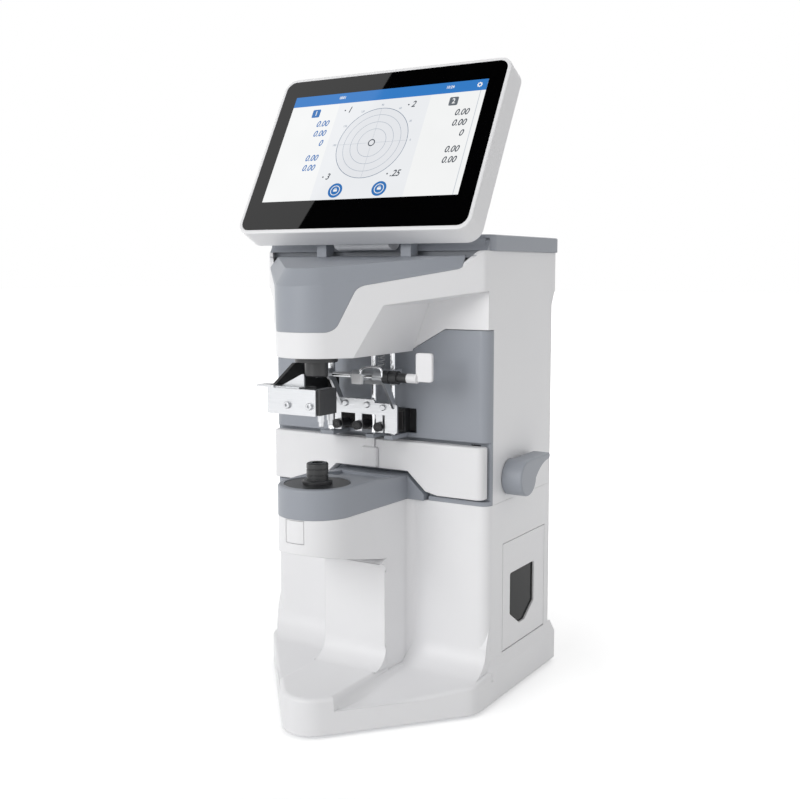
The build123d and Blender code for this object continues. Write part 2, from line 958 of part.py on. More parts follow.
def make_read_button():
    half = button_width / 2 - play
    rise_half = button_height / 2 - play
    face = block(-half, half, -arm_nose - 2, -arm_nose + 8, button_z - rise_half, button_z + rise_half)
    face &= rod_z(arm_nose - 0.1, 0, 0, 100, 200)
    return face - rod_z(arm_nose - 2.4, 0, 0, 100, 200)


def pitch_height():
    return lever_z + gear_module * gear_teeth / 2


def make_frame_table():
    back = table_front + table_depth
    outline = shape(
        (-table_half, table_low), (-notch_half_low, table_low), (-notch_half_mid, notch_mid),
        (-notch_half_high, notch_high), (notch_half_high, notch_high), (notch_half_mid, notch_mid),
        (notch_half_low, table_low), (table_half, table_low), (table_half, table_high),
        (-table_half, table_high),
    )
    table = along(outline, table_front, back)
    ends = [e for e in table.edges().filter_by(Axis.Z) if abs(e.center().X) > table_half - 0.01]
    table = fillet([e for e in ends if e.center().Y < table_front + 0.01], table_round)
    top = table.faces().sort_by(Axis.Z)[-1]
    table = fillet(top.edges(), table_edge)
    groove_half = slider_travel + strap_half + 1
    table -= block(
        -groove_half, groove_half, groove_y() - groove_width / 2, groove_y() + groove_width / 2,
        table_high - groove_depth, table_high + 1,
    )
    crossbar_half = arm_bar_x + arm_bar_width / 2
    for side in (-1, 1):
        x = side * arm_bar_x
        half = arm_bar_width / 2
        table += block(x - half, x + half, back - 1, crossbar_y + 1, arm_bar_low, arm_bar_high)
    table += block(
        -crossbar_half, crossbar_half, crossbar_y, crossbar_y + crossbar_depth,
        crossbar_low, crossbar_high,
    )
    for side in (-1, 1):
        table -= rod_y(rail_radius + run_fit, side * rail_x, crossbar_y - 1, crossbar_y + 20, rail_z)
    return table


def groove_y():
    return table_front + table_depth / 2


def make_pd_slider():
    face = table_front - play
    bump = block(-slider_half, slider_half, table_front - slider_proud, face, slider_low, slider_high)
    edges = [e for e in bump.edges() if e.center().Y < face - 0.01]
    bump = fillet(edges, 1.2)
    top = table_high + play + strap_thickness
    bump += block(-strap_half, strap_half, face - strap_thickness, face, slider_high - 2, top)
    tongue_half = groove_width / 2 - play
    bump += block(
        -strap_half, strap_half, face - strap_thickness, groove_y() + tongue_half, table_high + play, top
    )
    return bump + block(
        -strap_half, strap_half, groove_y() - tongue_half, groove_y() + tongue_half,
        table_high - groove_depth + play, top,
    )


def make_table_rails():
    return [rod_y(rail_radius, side * rail_x, panel_back, chassis_y, rail_z) for side in (-1, 1)]


def tooth_outline(base, tip):
    """Tooth as a trapezoid about the upright line, from a base level to a tip level."""
    half = gear_module * pi * tooth_share / 2
    slope = tan(radians(20))
    low = half - slope * base
    high = half - slope * tip
    return shape((-low, base), (low, base), (high, tip), (-high, tip))


def make_gear_rack():
    z = pitch_height()
    pitch = gear_module * pi
    bar = block(
        gear_x, gear_x + gear_width, table_front + table_depth, rack_end, z + tooth_root,
        table_high - play,
    )
    tooth = tooth_outline(-tooth_root - 0.2, tooth_top)
    for index in range(rack_teeth):
        y = lever_y + (index - 1.5) * pitch
        bar += across(Pos(y, z) * Rot(0, 0, 180) * tooth, gear_x, gear_x + gear_width)
    return bar


def make_sector_gear():
    pitch_radius = gear_module * gear_teeth / 2
    root = pitch_radius - tooth_root
    step = 360 / gear_teeth
    face = Circle(gear_hub)
    tooth = tooth_outline(-tooth_root - 0.5, tooth_top)
    for index in range(sector_teeth):
        face += Rot(0, 0, (1 - index) * step) * Pos(0, pitch_radius) * tooth
    start = 90 + 1.5 * step
    end = 90 - (sector_teeth - 0.5) * step
    reach = 3 * root
    cuts = [
        (reach * cos(radians(start + (end - start) * share)), reach * sin(radians(start + (end - start) * share)))
        for share in (0, 0.25, 0.5, 0.75, 1)
    ]
    face += Circle(root) & shape((0, 0), *cuts)
    face -= Circle(shaft_radius)
    return across(Pos(lever_y, lever_z) * face, gear_x, gear_x + gear_width)


def make_lever_shaft():
    return rod_x(shaft_radius, shaft_inner, lever_hub_outer - 4, lever_y, lever_z)


def make_lever_bracket():
    low = lever_z - bracket_height / 2
    plate = block(
        bracket_x, bracket_x + bracket_width, lever_y - bracket_height / 2, chassis_y,
        low, low + bracket_height,
    )
    plate += block(
        bracket_x - 10, bracket_x + bracket_width, chassis_y - bracket_width, chassis_y,
        low, low + bracket_height,
    )
    return plate - rod_x(shaft_radius + run_fit, shaft_inner, gear_x, lever_y, lever_z)


def make_shaft_bushing():
    inside = column_half - wall
    bush = rod_x(bush_radius, inside - wall, column_half, lever_y, lever_z)
    bush += rod_x(bush_flange, inside - wall, inside, lever_y, lever_z)
    return bush - rod_x(shaft_radius + run_fit, shaft_inner, lever_inner + 1, lever_y, lever_z)


def make_table_lever():
    hub = rod_x(lever_hub, lever_inner, lever_hub_outer, lever_y, lever_z)
    top = lever_z + lever_hub
    tip_low = lever_tip_z - lever_tip_round
    outline = make_face([
        Line((lever_y, lever_z), (lever_y, top)),
        Line((lever_y, top), (lever_tip_y - lever_tip_round, lever_tip_z + lever_tip_round)),
        ThreePointArc(
            (lever_tip_y - lever_tip_round, lever_tip_z + lever_tip_round),
            (lever_tip_y, lever_tip_z),
            (lever_tip_y - lever_tip_round, tip_low),
        ),
        ThreePointArc(
            (lever_tip_y - lever_tip_round, tip_low), (lever_y + 21, lever_z + 4), (lever_y + 13.8, lever_z - 2)
        ),
        Line((lever_y + 13.8, lever_z - 2), (lever_y, lever_z)),
    ])
    face = outline + (Pos(lever_y, lever_z) * Circle(lever_hub))
    paddle = across(face, lever_paddle_inner, lever_paddle_outer)
    outer = [e for e in paddle.edges() if e.center().X > lever_paddle_outer - 0.01]
    paddle = fillet(outer, 1.5)
    lever = hub + paddle
    return lever - rod_x(shaft_radius, lever_inner - 1, lever_hub_outer - 4, lever_y, lever_z)


def make_lamp_housing():
    body = rod_z(lamp_radius, 0, 0, head_bottom - lamp_flange, head_bottom)
    body += rod_z(lamp_radius - lamp_body_gap, 0, 0, head_bottom - lamp_flange, lamp_top)
    body += rod_z(snout_radius, 0, 0, snout_bottom, head_bottom)
    lip = body.faces().sort_by(Axis.Z)[0]
    body = chamfer(lip.edges(), 1)
    body -= rod_z(beam_radius, 0, 0, snout_bottom - 1, lamp_top)
    return body - rod_z(lamp_lens_radius, 0, 0, lamp_lens_seat, lamp_top + 1)


def make_collimator_lens():
    disc = rod_z(lamp_lens_radius, 0, 0, lamp_lens_seat, lamp_lens_seat + 3)
    dome = Pos(0, 0, lamp_lens_seat + 5 - 20) * Sphere(20)
    return disc + (dome & rod_z(lamp_lens_radius, 0, 0, lamp_lens_seat + 2, lamp_lens_seat + 6))


def make_lamp_board():
    board = rod_z(lamp_radius - lamp_body_gap, 0, 0, lamp_top, lamp_top + board_thickness)
    return board + rod_z(3, 0, 0, lamp_top - 3, lamp_top)


def make_holder_block():
    block_body = block(-holder_half, holder_half, holder_front, holder_back, holder_low, holder_high)
    block_body += block(
        holder_bar_left, -holder_half, holder_front, holder_bar_back, holder_low, holder_high
    )
    block_body -= block(-slot_half, slot_half, slot_front, holder_back + 1, holder_low - 1, holder_high + 1)
    for x, y in pin_places:
        block_body -= rod_z(pin_tip_radius, x, y, holder_low - 1, holder_low + 8)
    for x in holder_screw_places:
        block_body -= rod_y(1.5, x, holder_front - 1, holder_screw_end(x), holder_screw_z)
    return block_body


def holder_screw_end(x):
    return holder_front + (6 if x < -holder_half else 3.5)


def make_holder_plate():
    left = holder_arm_left
    front = holder_front - holder_plate_thickness
    plate = block(left, holder_plate_right, front, holder_front, holder_low - 0.5, holder_high)
    corners = [e for e in plate.edges().filter_by(Axis.Y) if e.center().X > left + 1]
    plate = fillet(corners, 1)
    top = holder_high + tab_height
    plate += block(left, tab_right, front, holder_front, holder_high - 1, top)
    plate += block(tab_left, left, front, holder_front + 10, holder_high, top)
    plate += block(left - 0.1, left, front, holder_front, holder_high, top)
    gusset = shape(
        (tab_right, holder_high), (-slot_half, holder_high), (-slot_half, gusset_peak), (-slot_half - 2, gusset_peak)
    )
    plate += along(gusset, holder_bar_back - 1.5, holder_bar_back)
    plate += block(
        holder_bar_left + play, -slot_half, holder_front - 0.5, holder_bar_back, holder_high, holder_high + 1
    )
    for x in holder_screw_places:
        plate -= rod_y(1.5, x, front - 1, holder_front + 1, holder_screw_z)
    return plate


def make_holder_screws():
    front = holder_front - holder_plate_thickness
    screws = []
    for x in holder_screw_places:
        screw = rod_y(2.6, x, front - 2, front, holder_screw_z)
        screw = fillet(screw.faces().sort_by(Axis.Y)[0].edges(), 0.6)
        screw += rod_y(1.5, x, front, holder_screw_end(x), holder_screw_z)
        screws.append(screw - rod_y(1.2, x, front - 3, front - 0.9, holder_screw_z))
    return screws


def make_holder_pins():
    pins = []
    for x, y in pin_places:
        pin = rod_z(pin_radius, x, y, ferrule_bottom, holder_low)
        pin += rod_z(pin_tip_radius, x, y, pin_tip, holder_low + 8)
        pins.append(fillet(pin.faces().sort_by(Axis.Z)[0].edges(), 0.8))
    return pins


def make_holder_arm():
    end = guide_y + holder_boss
    outline = shape(
        (holder_front, holder_low), (holder_front, holder_high), (holder_front + 5, holder_high + 2),
        (14.5, holder_crest), (34, holder_crest), (40, holder_high + 2), (end, holder_high + 2),
        (end, holder_foot), (50, holder_foot), (44, holder_low),
    )
    arm = across(outline, holder_arm_left, holder_bar_left)
    arm += rod_z(holder_boss, holder_guide_x, guide_y, holder_foot, holder_high + 2)
    return arm - rod_z(holder_guide_radius + run_fit, holder_guide_x, guide_y, 200, 300)


def make_guide_shafts():
    low = bracket_foot_low + 0.5
    shafts = [rod_z(holder_guide_radius, holder_guide_x, guide_y, low, head_bottom)]
    for x in marker_guides:
        shafts.append(rod_z(marker_guide_radius, x, guide_y, low, head_bottom))
    return shafts


def make_guide_brackets():
    front = guide_y - 7
    places = [
        (holder_guide_x, 6.3, holder_guide_radius),
        (marker_guides[0], 3.5, marker_guide_radius),
        (marker_guides[1], 3.8, marker_guide_radius),
    ]
    brackets = []
    for x, half, radius in places:
        foot_plate = block(x - half, x + half, front, column_front, bracket_foot_low, bracket_foot_high)
        brackets.append(foot_plate - rod_z(radius, x, guide_y, bracket_foot_low + 0.5, 300))
    return brackets


def make_marker_carriage():
    body = block(
        carriage_left, carriage_right, carriage_front, carriage_back, carriage_low, carriage_high
    )
    for x0, x1 in (ear_left, ear_right):
        ear = block(x0, x1, marker_y, carriage_front + 1, marker_z - ear_half, marker_z + ear_half)
        body += ear + rod_x(ear_half, x0, x1, marker_y, marker_z)
        body -= rod_x(marker_shaft_radius + run_fit, x0 - 1, x1 + 1, marker_y, marker_z)
    for x in marker_guides:
        body -= rod_z(marker_guide_radius + run_fit, x, guide_y, 200, 300)
    return body


def make_marker_shaft():
    return rod_x(marker_shaft_radius, marker_left, marker_right, marker_y, marker_z)


def make_marker_knob():
    knob = rod_x(collar_radius, collar_left, collar_right, marker_y, marker_z)
    knob -= rod_x(collar_radius + 1, collar_left + 5, collar_left + 6, marker_y, marker_z) - rod_x(
        collar_radius - 0.8, collar_left + 5, collar_left + 6, marker_y, marker_z
    )
    knob += rod_x(sleeve_radius, collar_right - 1, sleeve_right, marker_y, marker_z)
    return knob - rod_x(marker_shaft_radius, collar_left - 1, sleeve_right + 1, marker_y, marker_z)


def make_marker_paddle():
    left = marker_right
    low = marker_z - marker_shaft_radius
    half = paddle_thickness / 2
    plate = block(left, left + paddle_width, marker_y - half, marker_y + half, low, low + paddle_height)
    plate = fillet(plate.edges().filter_by(Axis.Y), 2)
    plate += rod_x(boss_radius, sleeve_right, left + 1, marker_y, marker_z)
    return plate - rod_x(marker_shaft_radius, sleeve_right - 1, left, marker_y, marker_z)


def make_marker_bracket():
    back = bracket_front + bracket_thickness
    top = marker_z - bracket_top_drop
    mid = marker_z - bracket_mid_drop
    low = marker_z - finger_drop
    plate = block(bracket_left, bracket_step, bracket_front, back, mid, top)
    plate += block(bracket_step - 1, bracket_right, bracket_front, back, mid, marker_z - wing_drop)
    plate += block(wing_start, bracket_right, bracket_front, back, low, mid + 1)
    corners = plate.edges().filter_by(Axis.Y)
    plate = fillet([e for e in corners if e.center().Z > top - 0.01 or e.center().X > bracket_right - 0.01], 2)
    for x in (-pen_pitch, 0, pen_pitch):
        plate += block(x - finger_half, x + finger_half, bracket_front, back, low, mid + 1)
        plate -= rod_y(pen_neck, x, bracket_front - 1, back + 1, marker_z - pen_drop)
    for x, drop in bracket_screw_places:
        plate -= rod_y(1.5, x, bracket_front - 1, back + 1, top - drop)
    for x0, x1 in (cheek_left, cheek_right):
        cheek = shape(
            (marker_y - cheek_half, marker_z - 1), (marker_y + cheek_half, marker_z + 1), (back, top),
            (back, top - cheek_reach), (bracket_front, top - cheek_reach),
        )
        plate += across(cheek, x0, x1) + rod_x(cheek_radius, x0, x1, marker_y, marker_z)
        plate -= rod_x(marker_shaft_radius, x0 - 1, x1 + 1, marker_y, marker_z)
    return plate


def make_marker_screws():
    top = marker_z - bracket_top_drop
    screws = []
    for x, drop in bracket_screw_places:
        head = rod_y(2.4, x, bracket_front - 1.8, bracket_front, top - drop)
        head = fillet(head.faces().sort_by(Axis.Y)[0].edges(), 0.8)
        screws.append(head + rod_y(1.5, x, bracket_front, bracket_front + bracket_thickness, top - drop))
    return screws


def make_marker_pens():
    back = bracket_front + bracket_thickness
    z = marker_z - pen_drop
    pens = []
    for x in (-pen_pitch, 0, pen_pitch):
        pen = rod_y(pen_radius, x, bracket_front - pen_cap, bracket_front, z)
        pen += rod_y(pen_neck, x, bracket_front, back, z)
        pen += rod_y(pen_radius, x, back, pen_tip - pen_point, z)
        point = Rot(-90, 0, 0) * Cone(pen_radius - 0.6, 0.9, pen_point)
        pen += Pos(x, pen_tip - pen_point / 2, z) * point
        pens.append(pen)
    return pens


def make_marker_spring():
    """Helix between the carriage and the head, built from pairs of tangent arcs."""
    low = carriage_high + spring_wire / 2
    rise_all = head_bottom - spring_wire / 2 - low
    quarter = pi / 2
    count = 2 * spring_half_turns
    climb = rise_all / (count * quarter)

    def place(step):
        angle = step * quarter
        return Vector(
            spring_x + spring_radius * cos(angle), spring_y + spring_radius * sin(angle), low + climb * angle
        )

    def heading(step):
        angle = step * quarter
        return Vector(-spring_radius * sin(angle), spring_radius * cos(angle), climb).normalized()

    arcs = []
    for step in range(count):
        start, end = place(step), place(step + 1)
        ahead, onward = heading(step), heading(step + 1)
        chord = end - start
        both = ahead + onward
        square = 4 - both.dot(both)
        lean = chord.dot(both)
        reach = (-lean + sqrt(lean * lean + square * chord.dot(chord))) / square
        near = start + ahead * reach
        far = end - onward * reach
        joint = (near + far) * 0.5
        arcs.append(TangentArc(start, joint, tangent=ahead))
        arcs.append(TangentArc(joint, end, tangent=(far - near).normalized()))
    path = Wire(arcs)
    section = Plane(origin=place(0), z_dir=heading(0)) * Circle(spring_wire / 2)
    gap = climb * 2 * pi - spring_wire
    print("spring: least gap between turns", round(gap, 2), "mm")
    return sweep(section, path=path)


def make_ink_cartridge():
    body = block(ink_left, ink_right, ink_front, ink_front + ink_depth, ink_low, ink_high)
    body += block(ink_right - 1, ink_slot_right - 3, ink_front + 8, ink_front + ink_depth, ink_low, ink_high)
    return body - pad_space(0)


def pad_space(proud):
    edge = 2
    return block(
        ink_left + edge, ink_right - edge, ink_front - proud, ink_front + 2.5, ink_low + edge, ink_high - edge
    )


def make_ink_pad():
    return pad_space(ink_front - pen_tip - play)


def door_outline(gap):
    y = (door_front + door_back) / 2
    z = (door_low + door_high) / 2
    return Pos(y, z) * Rectangle(door_back - door_front - 2 * gap, door_high - door_low - 2 * gap)


def window_outline(grow):
    low_y = (window_front + window_back) / 2
    outline = shape(
        (window_front, window_high), (window_back, window_high), (window_back, window_shoulder),
        (low_y + 5, window_low), (low_y - 5, window_low), (window_front, window_shoulder),
    )
    outline = fillet(outline.vertices(), window_round)
    return offset(outline, grow) if grow else outline


def door_pivot():
    return column_half - wall / 2, door_low + seam + wall / 2


def make_printer_door():
    inner = column_half - wall
    door = across(door_outline(seam), inner, column_half)
    low = door_low + seam
    rims = [e for e in door.edges().filter_by(Axis.Y) if e.center().Z < low + 0.01]
    door = fillet(rims, wall / 2 - 0.05)
    door -= across(window_outline(0), inner - 1, column_half + 1)
    door -= across(window_outline(window_rebate), inner - 1, inner + window_thickness)
    x, z = door_pivot()
    for y0, y1 in (
        (door_front - door_pin_length, door_front + seam), (door_back - seam, door_back + door_pin_length)
    ):
        door += rod_y(door_pin_radius, x, y0, y1, z)
    return door


def make_door_window():
    inner = column_half - wall
    return across(window_outline(window_rebate), inner, inner + window_thickness)


def make_printer_body():
    floor = base_bottom + pan_thickness
    body = block(printer_left, printer_right, bay_front, bay_back, roll_z - roll_radius - 4, roll_z - roll_radius - 2)
    body += block(printer_left, printer_left + 2, bay_front, bay_back, floor, printer_high)
    body += block(printer_left, platen_x - platen_radius - 4, bay_front, bay_back, printer_high - 14, printer_high)
    for y in (bay_front, bay_back - cheek_thickness):
        body += block(printer_left, printer_right, y, y + cheek_thickness, floor, printer_high)
    body -= rod_y(spindle_radius, roll_x, bay_front - 1, bay_back + 1, roll_z)
    body -= rod_y(platen_pin + run_fit, platen_x, bay_front - 1, bay_back + 1, platen_z)
    return body


def make_platen_roller():
    start = bay_front + cheek_thickness + play
    end = bay_back - cheek_thickness - play
    roller = rod_y(platen_radius, platen_x, start, end, platen_z)
    return roller + rod_y(platen_pin, platen_x, bay_front, bay_back, platen_z)


def make_roll_spindle():
    return rod_y(spindle_radius, roll_x, bay_front, bay_back, roll_z)


def make_paper_roll():
    mid = (bay_front + bay_back) / 2
    roll = rod_y(roll_radius, roll_x, mid - roll_width / 2, mid + roll_width / 2, roll_z)
    return roll - rod_y(spindle_radius + run_fit, roll_x, bay_front, bay_back, roll_z)


def screen_plane(depth=0):
    lean = radians(screen_tilt)
    front = Plane(
        origin=(0, screen_y, screen_z), x_dir=(1, 0, 0), z_dir=(0, -cos(lean), sin(lean))
    )
    return front.offset(-depth)


def screen_point(v, depth):
    """Side view (y, z) of a place up the screen and behind its front."""
    lean = radians(screen_tilt)
    return screen_y + v * sin(lean) + depth * cos(lean), screen_z + v * cos(lean) - depth * sin(lean)


def screen_face(width, up, down, corner):
    face = Pos(0, (up - down) / 2) * Rectangle(width, up + down)
    return fillet(face.vertices(), corner)


def screen_layer(face, front_depth, back_depth):
    return extrude(screen_plane(back_depth) * face, back_depth - front_depth)


def make_display_housing():
    outer = screen_layer(screen_face(screen_width, screen_up, screen_down, screen_corner), 0, screen_depth)
    front = screen_plane()
    depths = [(front.to_local_coords(e.center()).Z, e) for e in outer.edges()]
    body = fillet([e for z, e in depths if z < -screen_depth + 0.01], screen_back_round)
    depths = [(front.to_local_coords(e.center()).Z, e) for e in body.edges()]
    body = fillet([e for z, e in depths if z > -0.01], 1.2)
    inside = screen_depth - neck_bite
    neck = shape(
        screen_point(-screen_down + neck_bite, inside), screen_point(-screen_down + neck_reach, inside),
        (hinge_y + hinge_radius * cos(pi / 6), hinge_z + hinge_radius * sin(pi / 6)), (hinge_y, hinge_z),
    )
    neck = across(neck, -neck_half, neck_half)
    neck += rod_x(hinge_radius, -neck_half, neck_half, hinge_y, hinge_z)
    body += neck
    cavity_depth = screen_depth - wall
    body -= screen_layer(
        screen_face(glass_width + play, glass_up + play / 2, glass_down + play / 2, glass_corner),
        0, glass_thickness,
    )
    body -= screen_layer(
        Rectangle(lcd_width + play, lcd_height + play), glass_thickness, cavity_depth
    )
    return body - rod_x(hinge_pin_radius + run_fit, -neck_half - 1, neck_half + 1, hinge_y, hinge_z)


def make_display_glass():
    face = screen_face(glass_width, glass_up, glass_down, glass_corner)
    return screen_layer(face, 0, glass_thickness)


def make_display_panel():
    panel = screen_layer(Rectangle(lcd_width, lcd_height), glass_thickness, glass_thickness + lcd_thickness)
    return panel + screen_layer(
        Pos(40, 10) * Rectangle(60, 40), glass_thickness + lcd_thickness,
        glass_thickness + lcd_thickness + 6,
    )


def make_hinge_pin():
    return rod_x(hinge_pin_radius, -post_outer - 3, post_outer + 3, hinge_y, hinge_z)


def make_hinge_posts():
    front = hinge_y - post_radius
    back = hinge_y + post_radius
    posts = []
    for side in (-1, 1):
        outline = shape((front, deck_z(front)), (back, deck_z(back)), (back, hinge_z), (front, hinge_z))
        outline += Pos(hinge_y, hinge_z) * Circle(post_radius)
        x0, x1 = sorted((side * post_inner, side * post_outer))
        post = across(outline, x0, x1)
        posts.append(post - rod_x(hinge_pin_radius, x0 - 1, x1 + 1, hinge_y, hinge_z))
    return posts


def make_chassis():
    back = chassis_y + chassis_thickness
    floor = base_bottom + pan_thickness
    plate = block(-chassis_half, chassis_half, chassis_y, back, chassis_step, chassis_high)
    plate += block(-chassis_half, chassis_low_half, chassis_y, back, floor, chassis_step + 1)
    plate += block(-chassis_half, chassis_low_half, chassis_y, chassis_y + 15, floor, floor + chassis_thickness)
    plate += block(-chassis_half, chassis_half, chassis_y, chassis_y + 10, chassis_high - chassis_thickness, chassis_high)
    return plate


def make_main_board():
    back = chassis_y + chassis_thickness
    front = back + standoff
    board = block(-board_half, board_half, front, front + board_thickness, board_low, board_high)
    for x in (6 - board_half, board_half - 6):
        for z in (board_low + 6, board_high - 6):
            board += rod_y(3, x, back, front, z)
    face = front + board_thickness
    chips = [(-30, 25, 16, 3), (15, 30, 22, 3), (40, 60, 12, 8), (-45, 70, 14, 6), (0, 75, 18, 2)]
    for x, height, size, thick in chips:
        z = board_low + height
        board += block(x - size / 2, x + size / 2, face, face + thick, z - size / 2, z + size / 2)
    return board


def make_power_supply():
    back = chassis_y + chassis_thickness
    case = block(supply_left, supply_right, back, back + supply_depth, supply_low, supply_high)
    for row in range(5):
        z = supply_low + 12 + row * 12
        case -= block(supply_left + 8, supply_right - 8, back + supply_depth - 1, back + supply_depth + 1, z, z + 4)
    return case


def make_power_inlet():
    face = column_back + rear_low_depth
    half = inlet_width / 2 - play
    tall = inlet_height / 2 - play
    body = block(
        inlet_x - half, inlet_x + half, face - inlet_depth, face, inlet_z - tall, inlet_z + tall
    )
    body += block(
        inlet_x - half - 2.5, inlet_x + half + 2.5, face, face + 1.5, inlet_z - tall - 2.5, inlet_z + tall + 2.5
    )
    body -= block(
        inlet_x - inlet_socket_width / 2, inlet_x + inlet_socket_width / 2,
        face - inlet_depth + 2, face + 2,
        inlet_z - inlet_socket_height / 2, inlet_z + inlet_socket_height / 2,
    )
    for x, z in ((-7, -2), (7, -2), (0, 2)):
        body += block(
            inlet_x + x - 1, inlet_x + x + 1, face - inlet_depth + 1, face - 2, inlet_z + z - 2, inlet_z + z + 2
        )
    return body


def make_power_switch():
    half = switch_width / 2 - play
    radius = switch_height / 2 - play
    rocker = rod_x(radius, switch_x - half, switch_x + half, switch_y, inlet_z)
    rocker &= block(switch_x - 50, switch_x + 50, switch_y - 2, switch_y + 30, 0, 200)
    dip = radius * tan(radians(switch_tilt))
    top = switch_y + radius - 1
    front = shape(
        (switch_y + 30, inlet_z - 20), (top + dip, inlet_z - 20), (top - dip / 4, inlet_z),
        (top + dip, inlet_z + 20), (switch_y + 30, inlet_z + 20),
    )
    rocker -= across(front, switch_x - half - 1, switch_x + half + 1)
    rocker += rod_x(switch_pin, switch_x - half - 3, switch_x + half + 3, switch_y, inlet_z)
    return rocker.rotate(Axis((switch_x, switch_y, inlet_z), (1, 0, 0)), switch_tilt)


def make_feet():
    return [foot(0, 0), foot(-foot_side, foot_back), foot(foot_side, foot_back)]


def write_part(name, part):
    if isinstance(part, list):
        part = Compound(children=part)
    export_step(part, f"parts/{name}.step")
    print(name, round(part.volume), "mm3")


nodes = {
    "lower_housing": make_lower_housing,
    "upper_housing": make_upper_housing,
    "top_cover": make_top_cover,
    "rear_cover": make_rear_cover,
    "rear_screws": make_rear_screws,
    "base_pan": make_base_pan,
    "front_panel": make_front_panel,
    "arm_cover": make_arm_cover,
    "nosepiece_plate": make_nosepiece_plate,
    "nosepiece": make_nosepiece,
    "sensor_lens": make_sensor_lens,
    "sensor_mount": make_sensor_mount,
    "sensor_board": make_sensor_board,
    "read_button": make_read_button,
    "frame_table": make_frame_table,
    "pd_slider": make_pd_slider,
    "table_rails": make_table_rails,
    "gear_rack": make_gear_rack,
    "sector_gear": make_sector_gear,
    "lever_shaft": make_lever_shaft,
    "lever_bracket": make_lever_bracket,
    "shaft_bushing": make_shaft_bushing,
    "table_lever": make_table_lever,
    "lamp_housing": make_lamp_housing,
    "collimator_lens": make_collimator_lens,
    "lamp_board": make_lamp_board,
    "holder_block": make_holder_block,
    "holder_plate": make_holder_plate,
    "holder_screws": make_holder_screws,
    "holder_pins": make_holder_pins,
    "holder_arm": make_holder_arm,
    "guide_shafts": make_guide_shafts,
    "guide_brackets": make_guide_brackets,
    "marker_carriage": make_marker_carriage,
    "marker_shaft": make_marker_shaft,
    "marker_knob": make_marker_knob,
    "marker_paddle": make_marker_paddle,
    "marker_bracket": make_marker_bracket,
    "marker_screws": make_marker_screws,
    "marker_pens": make_marker_pens,
    "marker_spring": make_marker_spring,
    "ink_cartridge": make_ink_cartridge,
    "ink_pad": make_ink_pad,
    "printer_door": make_printer_door,
    "door_window": make_door_window,
    "printer_body": make_printer_body,
    "platen_roller": make_platen_roller,
    "roll_spindle": make_roll_spindle,
    "paper_roll": make_paper_roll,
    "display_housing": make_display_housing,
    "display_glass": make_display_glass,
    "display_panel": make_display_panel,
    "hinge_pin": make_hinge_pin,
    "hinge_posts": make_hinge_posts,
    "chassis": make_chassis,
    "main_board": make_main_board,
    "power_supply": make_power_supply,
    "power_inlet": make_power_inlet,
    "power_switch": make_power_switch,
    "feet": make_feet,
}

if __name__ == "__main__":
    os.makedirs("parts", exist_ok=True)
    for name, make in nodes.items():
        write_part(name, make())
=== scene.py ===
import json
from math import cos, radians, sin

import bpy
from mathutils import Matrix, Vector


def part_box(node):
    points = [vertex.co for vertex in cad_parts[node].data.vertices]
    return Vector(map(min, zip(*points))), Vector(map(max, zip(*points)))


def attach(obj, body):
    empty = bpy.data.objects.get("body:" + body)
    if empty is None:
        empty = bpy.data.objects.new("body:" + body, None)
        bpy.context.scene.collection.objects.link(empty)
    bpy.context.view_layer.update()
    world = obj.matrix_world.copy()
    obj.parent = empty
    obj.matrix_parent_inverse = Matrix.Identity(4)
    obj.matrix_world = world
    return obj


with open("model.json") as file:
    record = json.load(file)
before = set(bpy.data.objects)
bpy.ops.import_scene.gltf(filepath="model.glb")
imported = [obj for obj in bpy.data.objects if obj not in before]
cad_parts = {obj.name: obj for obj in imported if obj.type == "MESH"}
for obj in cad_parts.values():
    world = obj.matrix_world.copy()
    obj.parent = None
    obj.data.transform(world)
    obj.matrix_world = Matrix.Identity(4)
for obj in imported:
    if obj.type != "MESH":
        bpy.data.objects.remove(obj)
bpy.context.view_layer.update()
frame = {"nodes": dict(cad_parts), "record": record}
print("frame loaded:", len(frame["nodes"]), "nodes")


# helpers for finishes

def linear(tone):
    # sRGB hex to the linear colour that the shader takes
    parts = [int(tone[i:i + 2], 16) / 255 for i in (1, 3, 5)]
    return [p / 12.92 if p <= 0.04045 else ((p + 0.055) / 1.055) ** 2.4 for p in parts] + [1.0]


def addNode(tree, kind, settings, links):
    node = tree.nodes.new("ShaderNode" + kind)
    for key, value in settings.items():
        if isinstance(key, int) or key in node.inputs:
            node.inputs[key].default_value = value
        else:
            setattr(node, key, value)
    for socket, source in links.items():
        tree.links.new(source, node.inputs[socket])
    return node


def startFinish(name):
    finish = bpy.data.materials.new(name)
    finish.use_nodes = True
    tree = finish.node_tree
    tree.nodes.clear()
    shader = tree.nodes.new("ShaderNodeBsdfPrincipled")
    output = tree.nodes.new("ShaderNodeOutputMaterial")
    tree.links.new(shader.outputs[0], output.inputs[0])
    place = tree.nodes.new("ShaderNodeTexCoord").outputs["Object"]
    return finish, tree, shader, place


def setShader(shader, values):
    for key, value in values.items():
        shader.inputs[key].default_value = value


def wander(tree, shader, place, tone, shade, patch):
    # colour that drifts slowly between two close tones, patch in mm
    drift = addNode(tree, "TexNoise", {"Scale": 1000 / patch, "Detail": 3.0}, {"Vector": place})
    colour = addNode(
        tree, "Mix", {"data_type": "RGBA", 6: linear(tone), 7: linear(shade)}, {0: drift.outputs[0]}
    )
    tree.links.new(colour.outputs[2], shader.inputs["Base Color"])


def unevenSheen(tree, shader, pattern, low, high):
    # roughness that follows a pattern between two values
    rough = addNode(tree, "MapRange", {"To Min": low, "To Max": high}, {"Value": pattern})
    tree.links.new(rough.outputs[0], shader.inputs["Roughness"])


# finishes, each from what the real one is made of

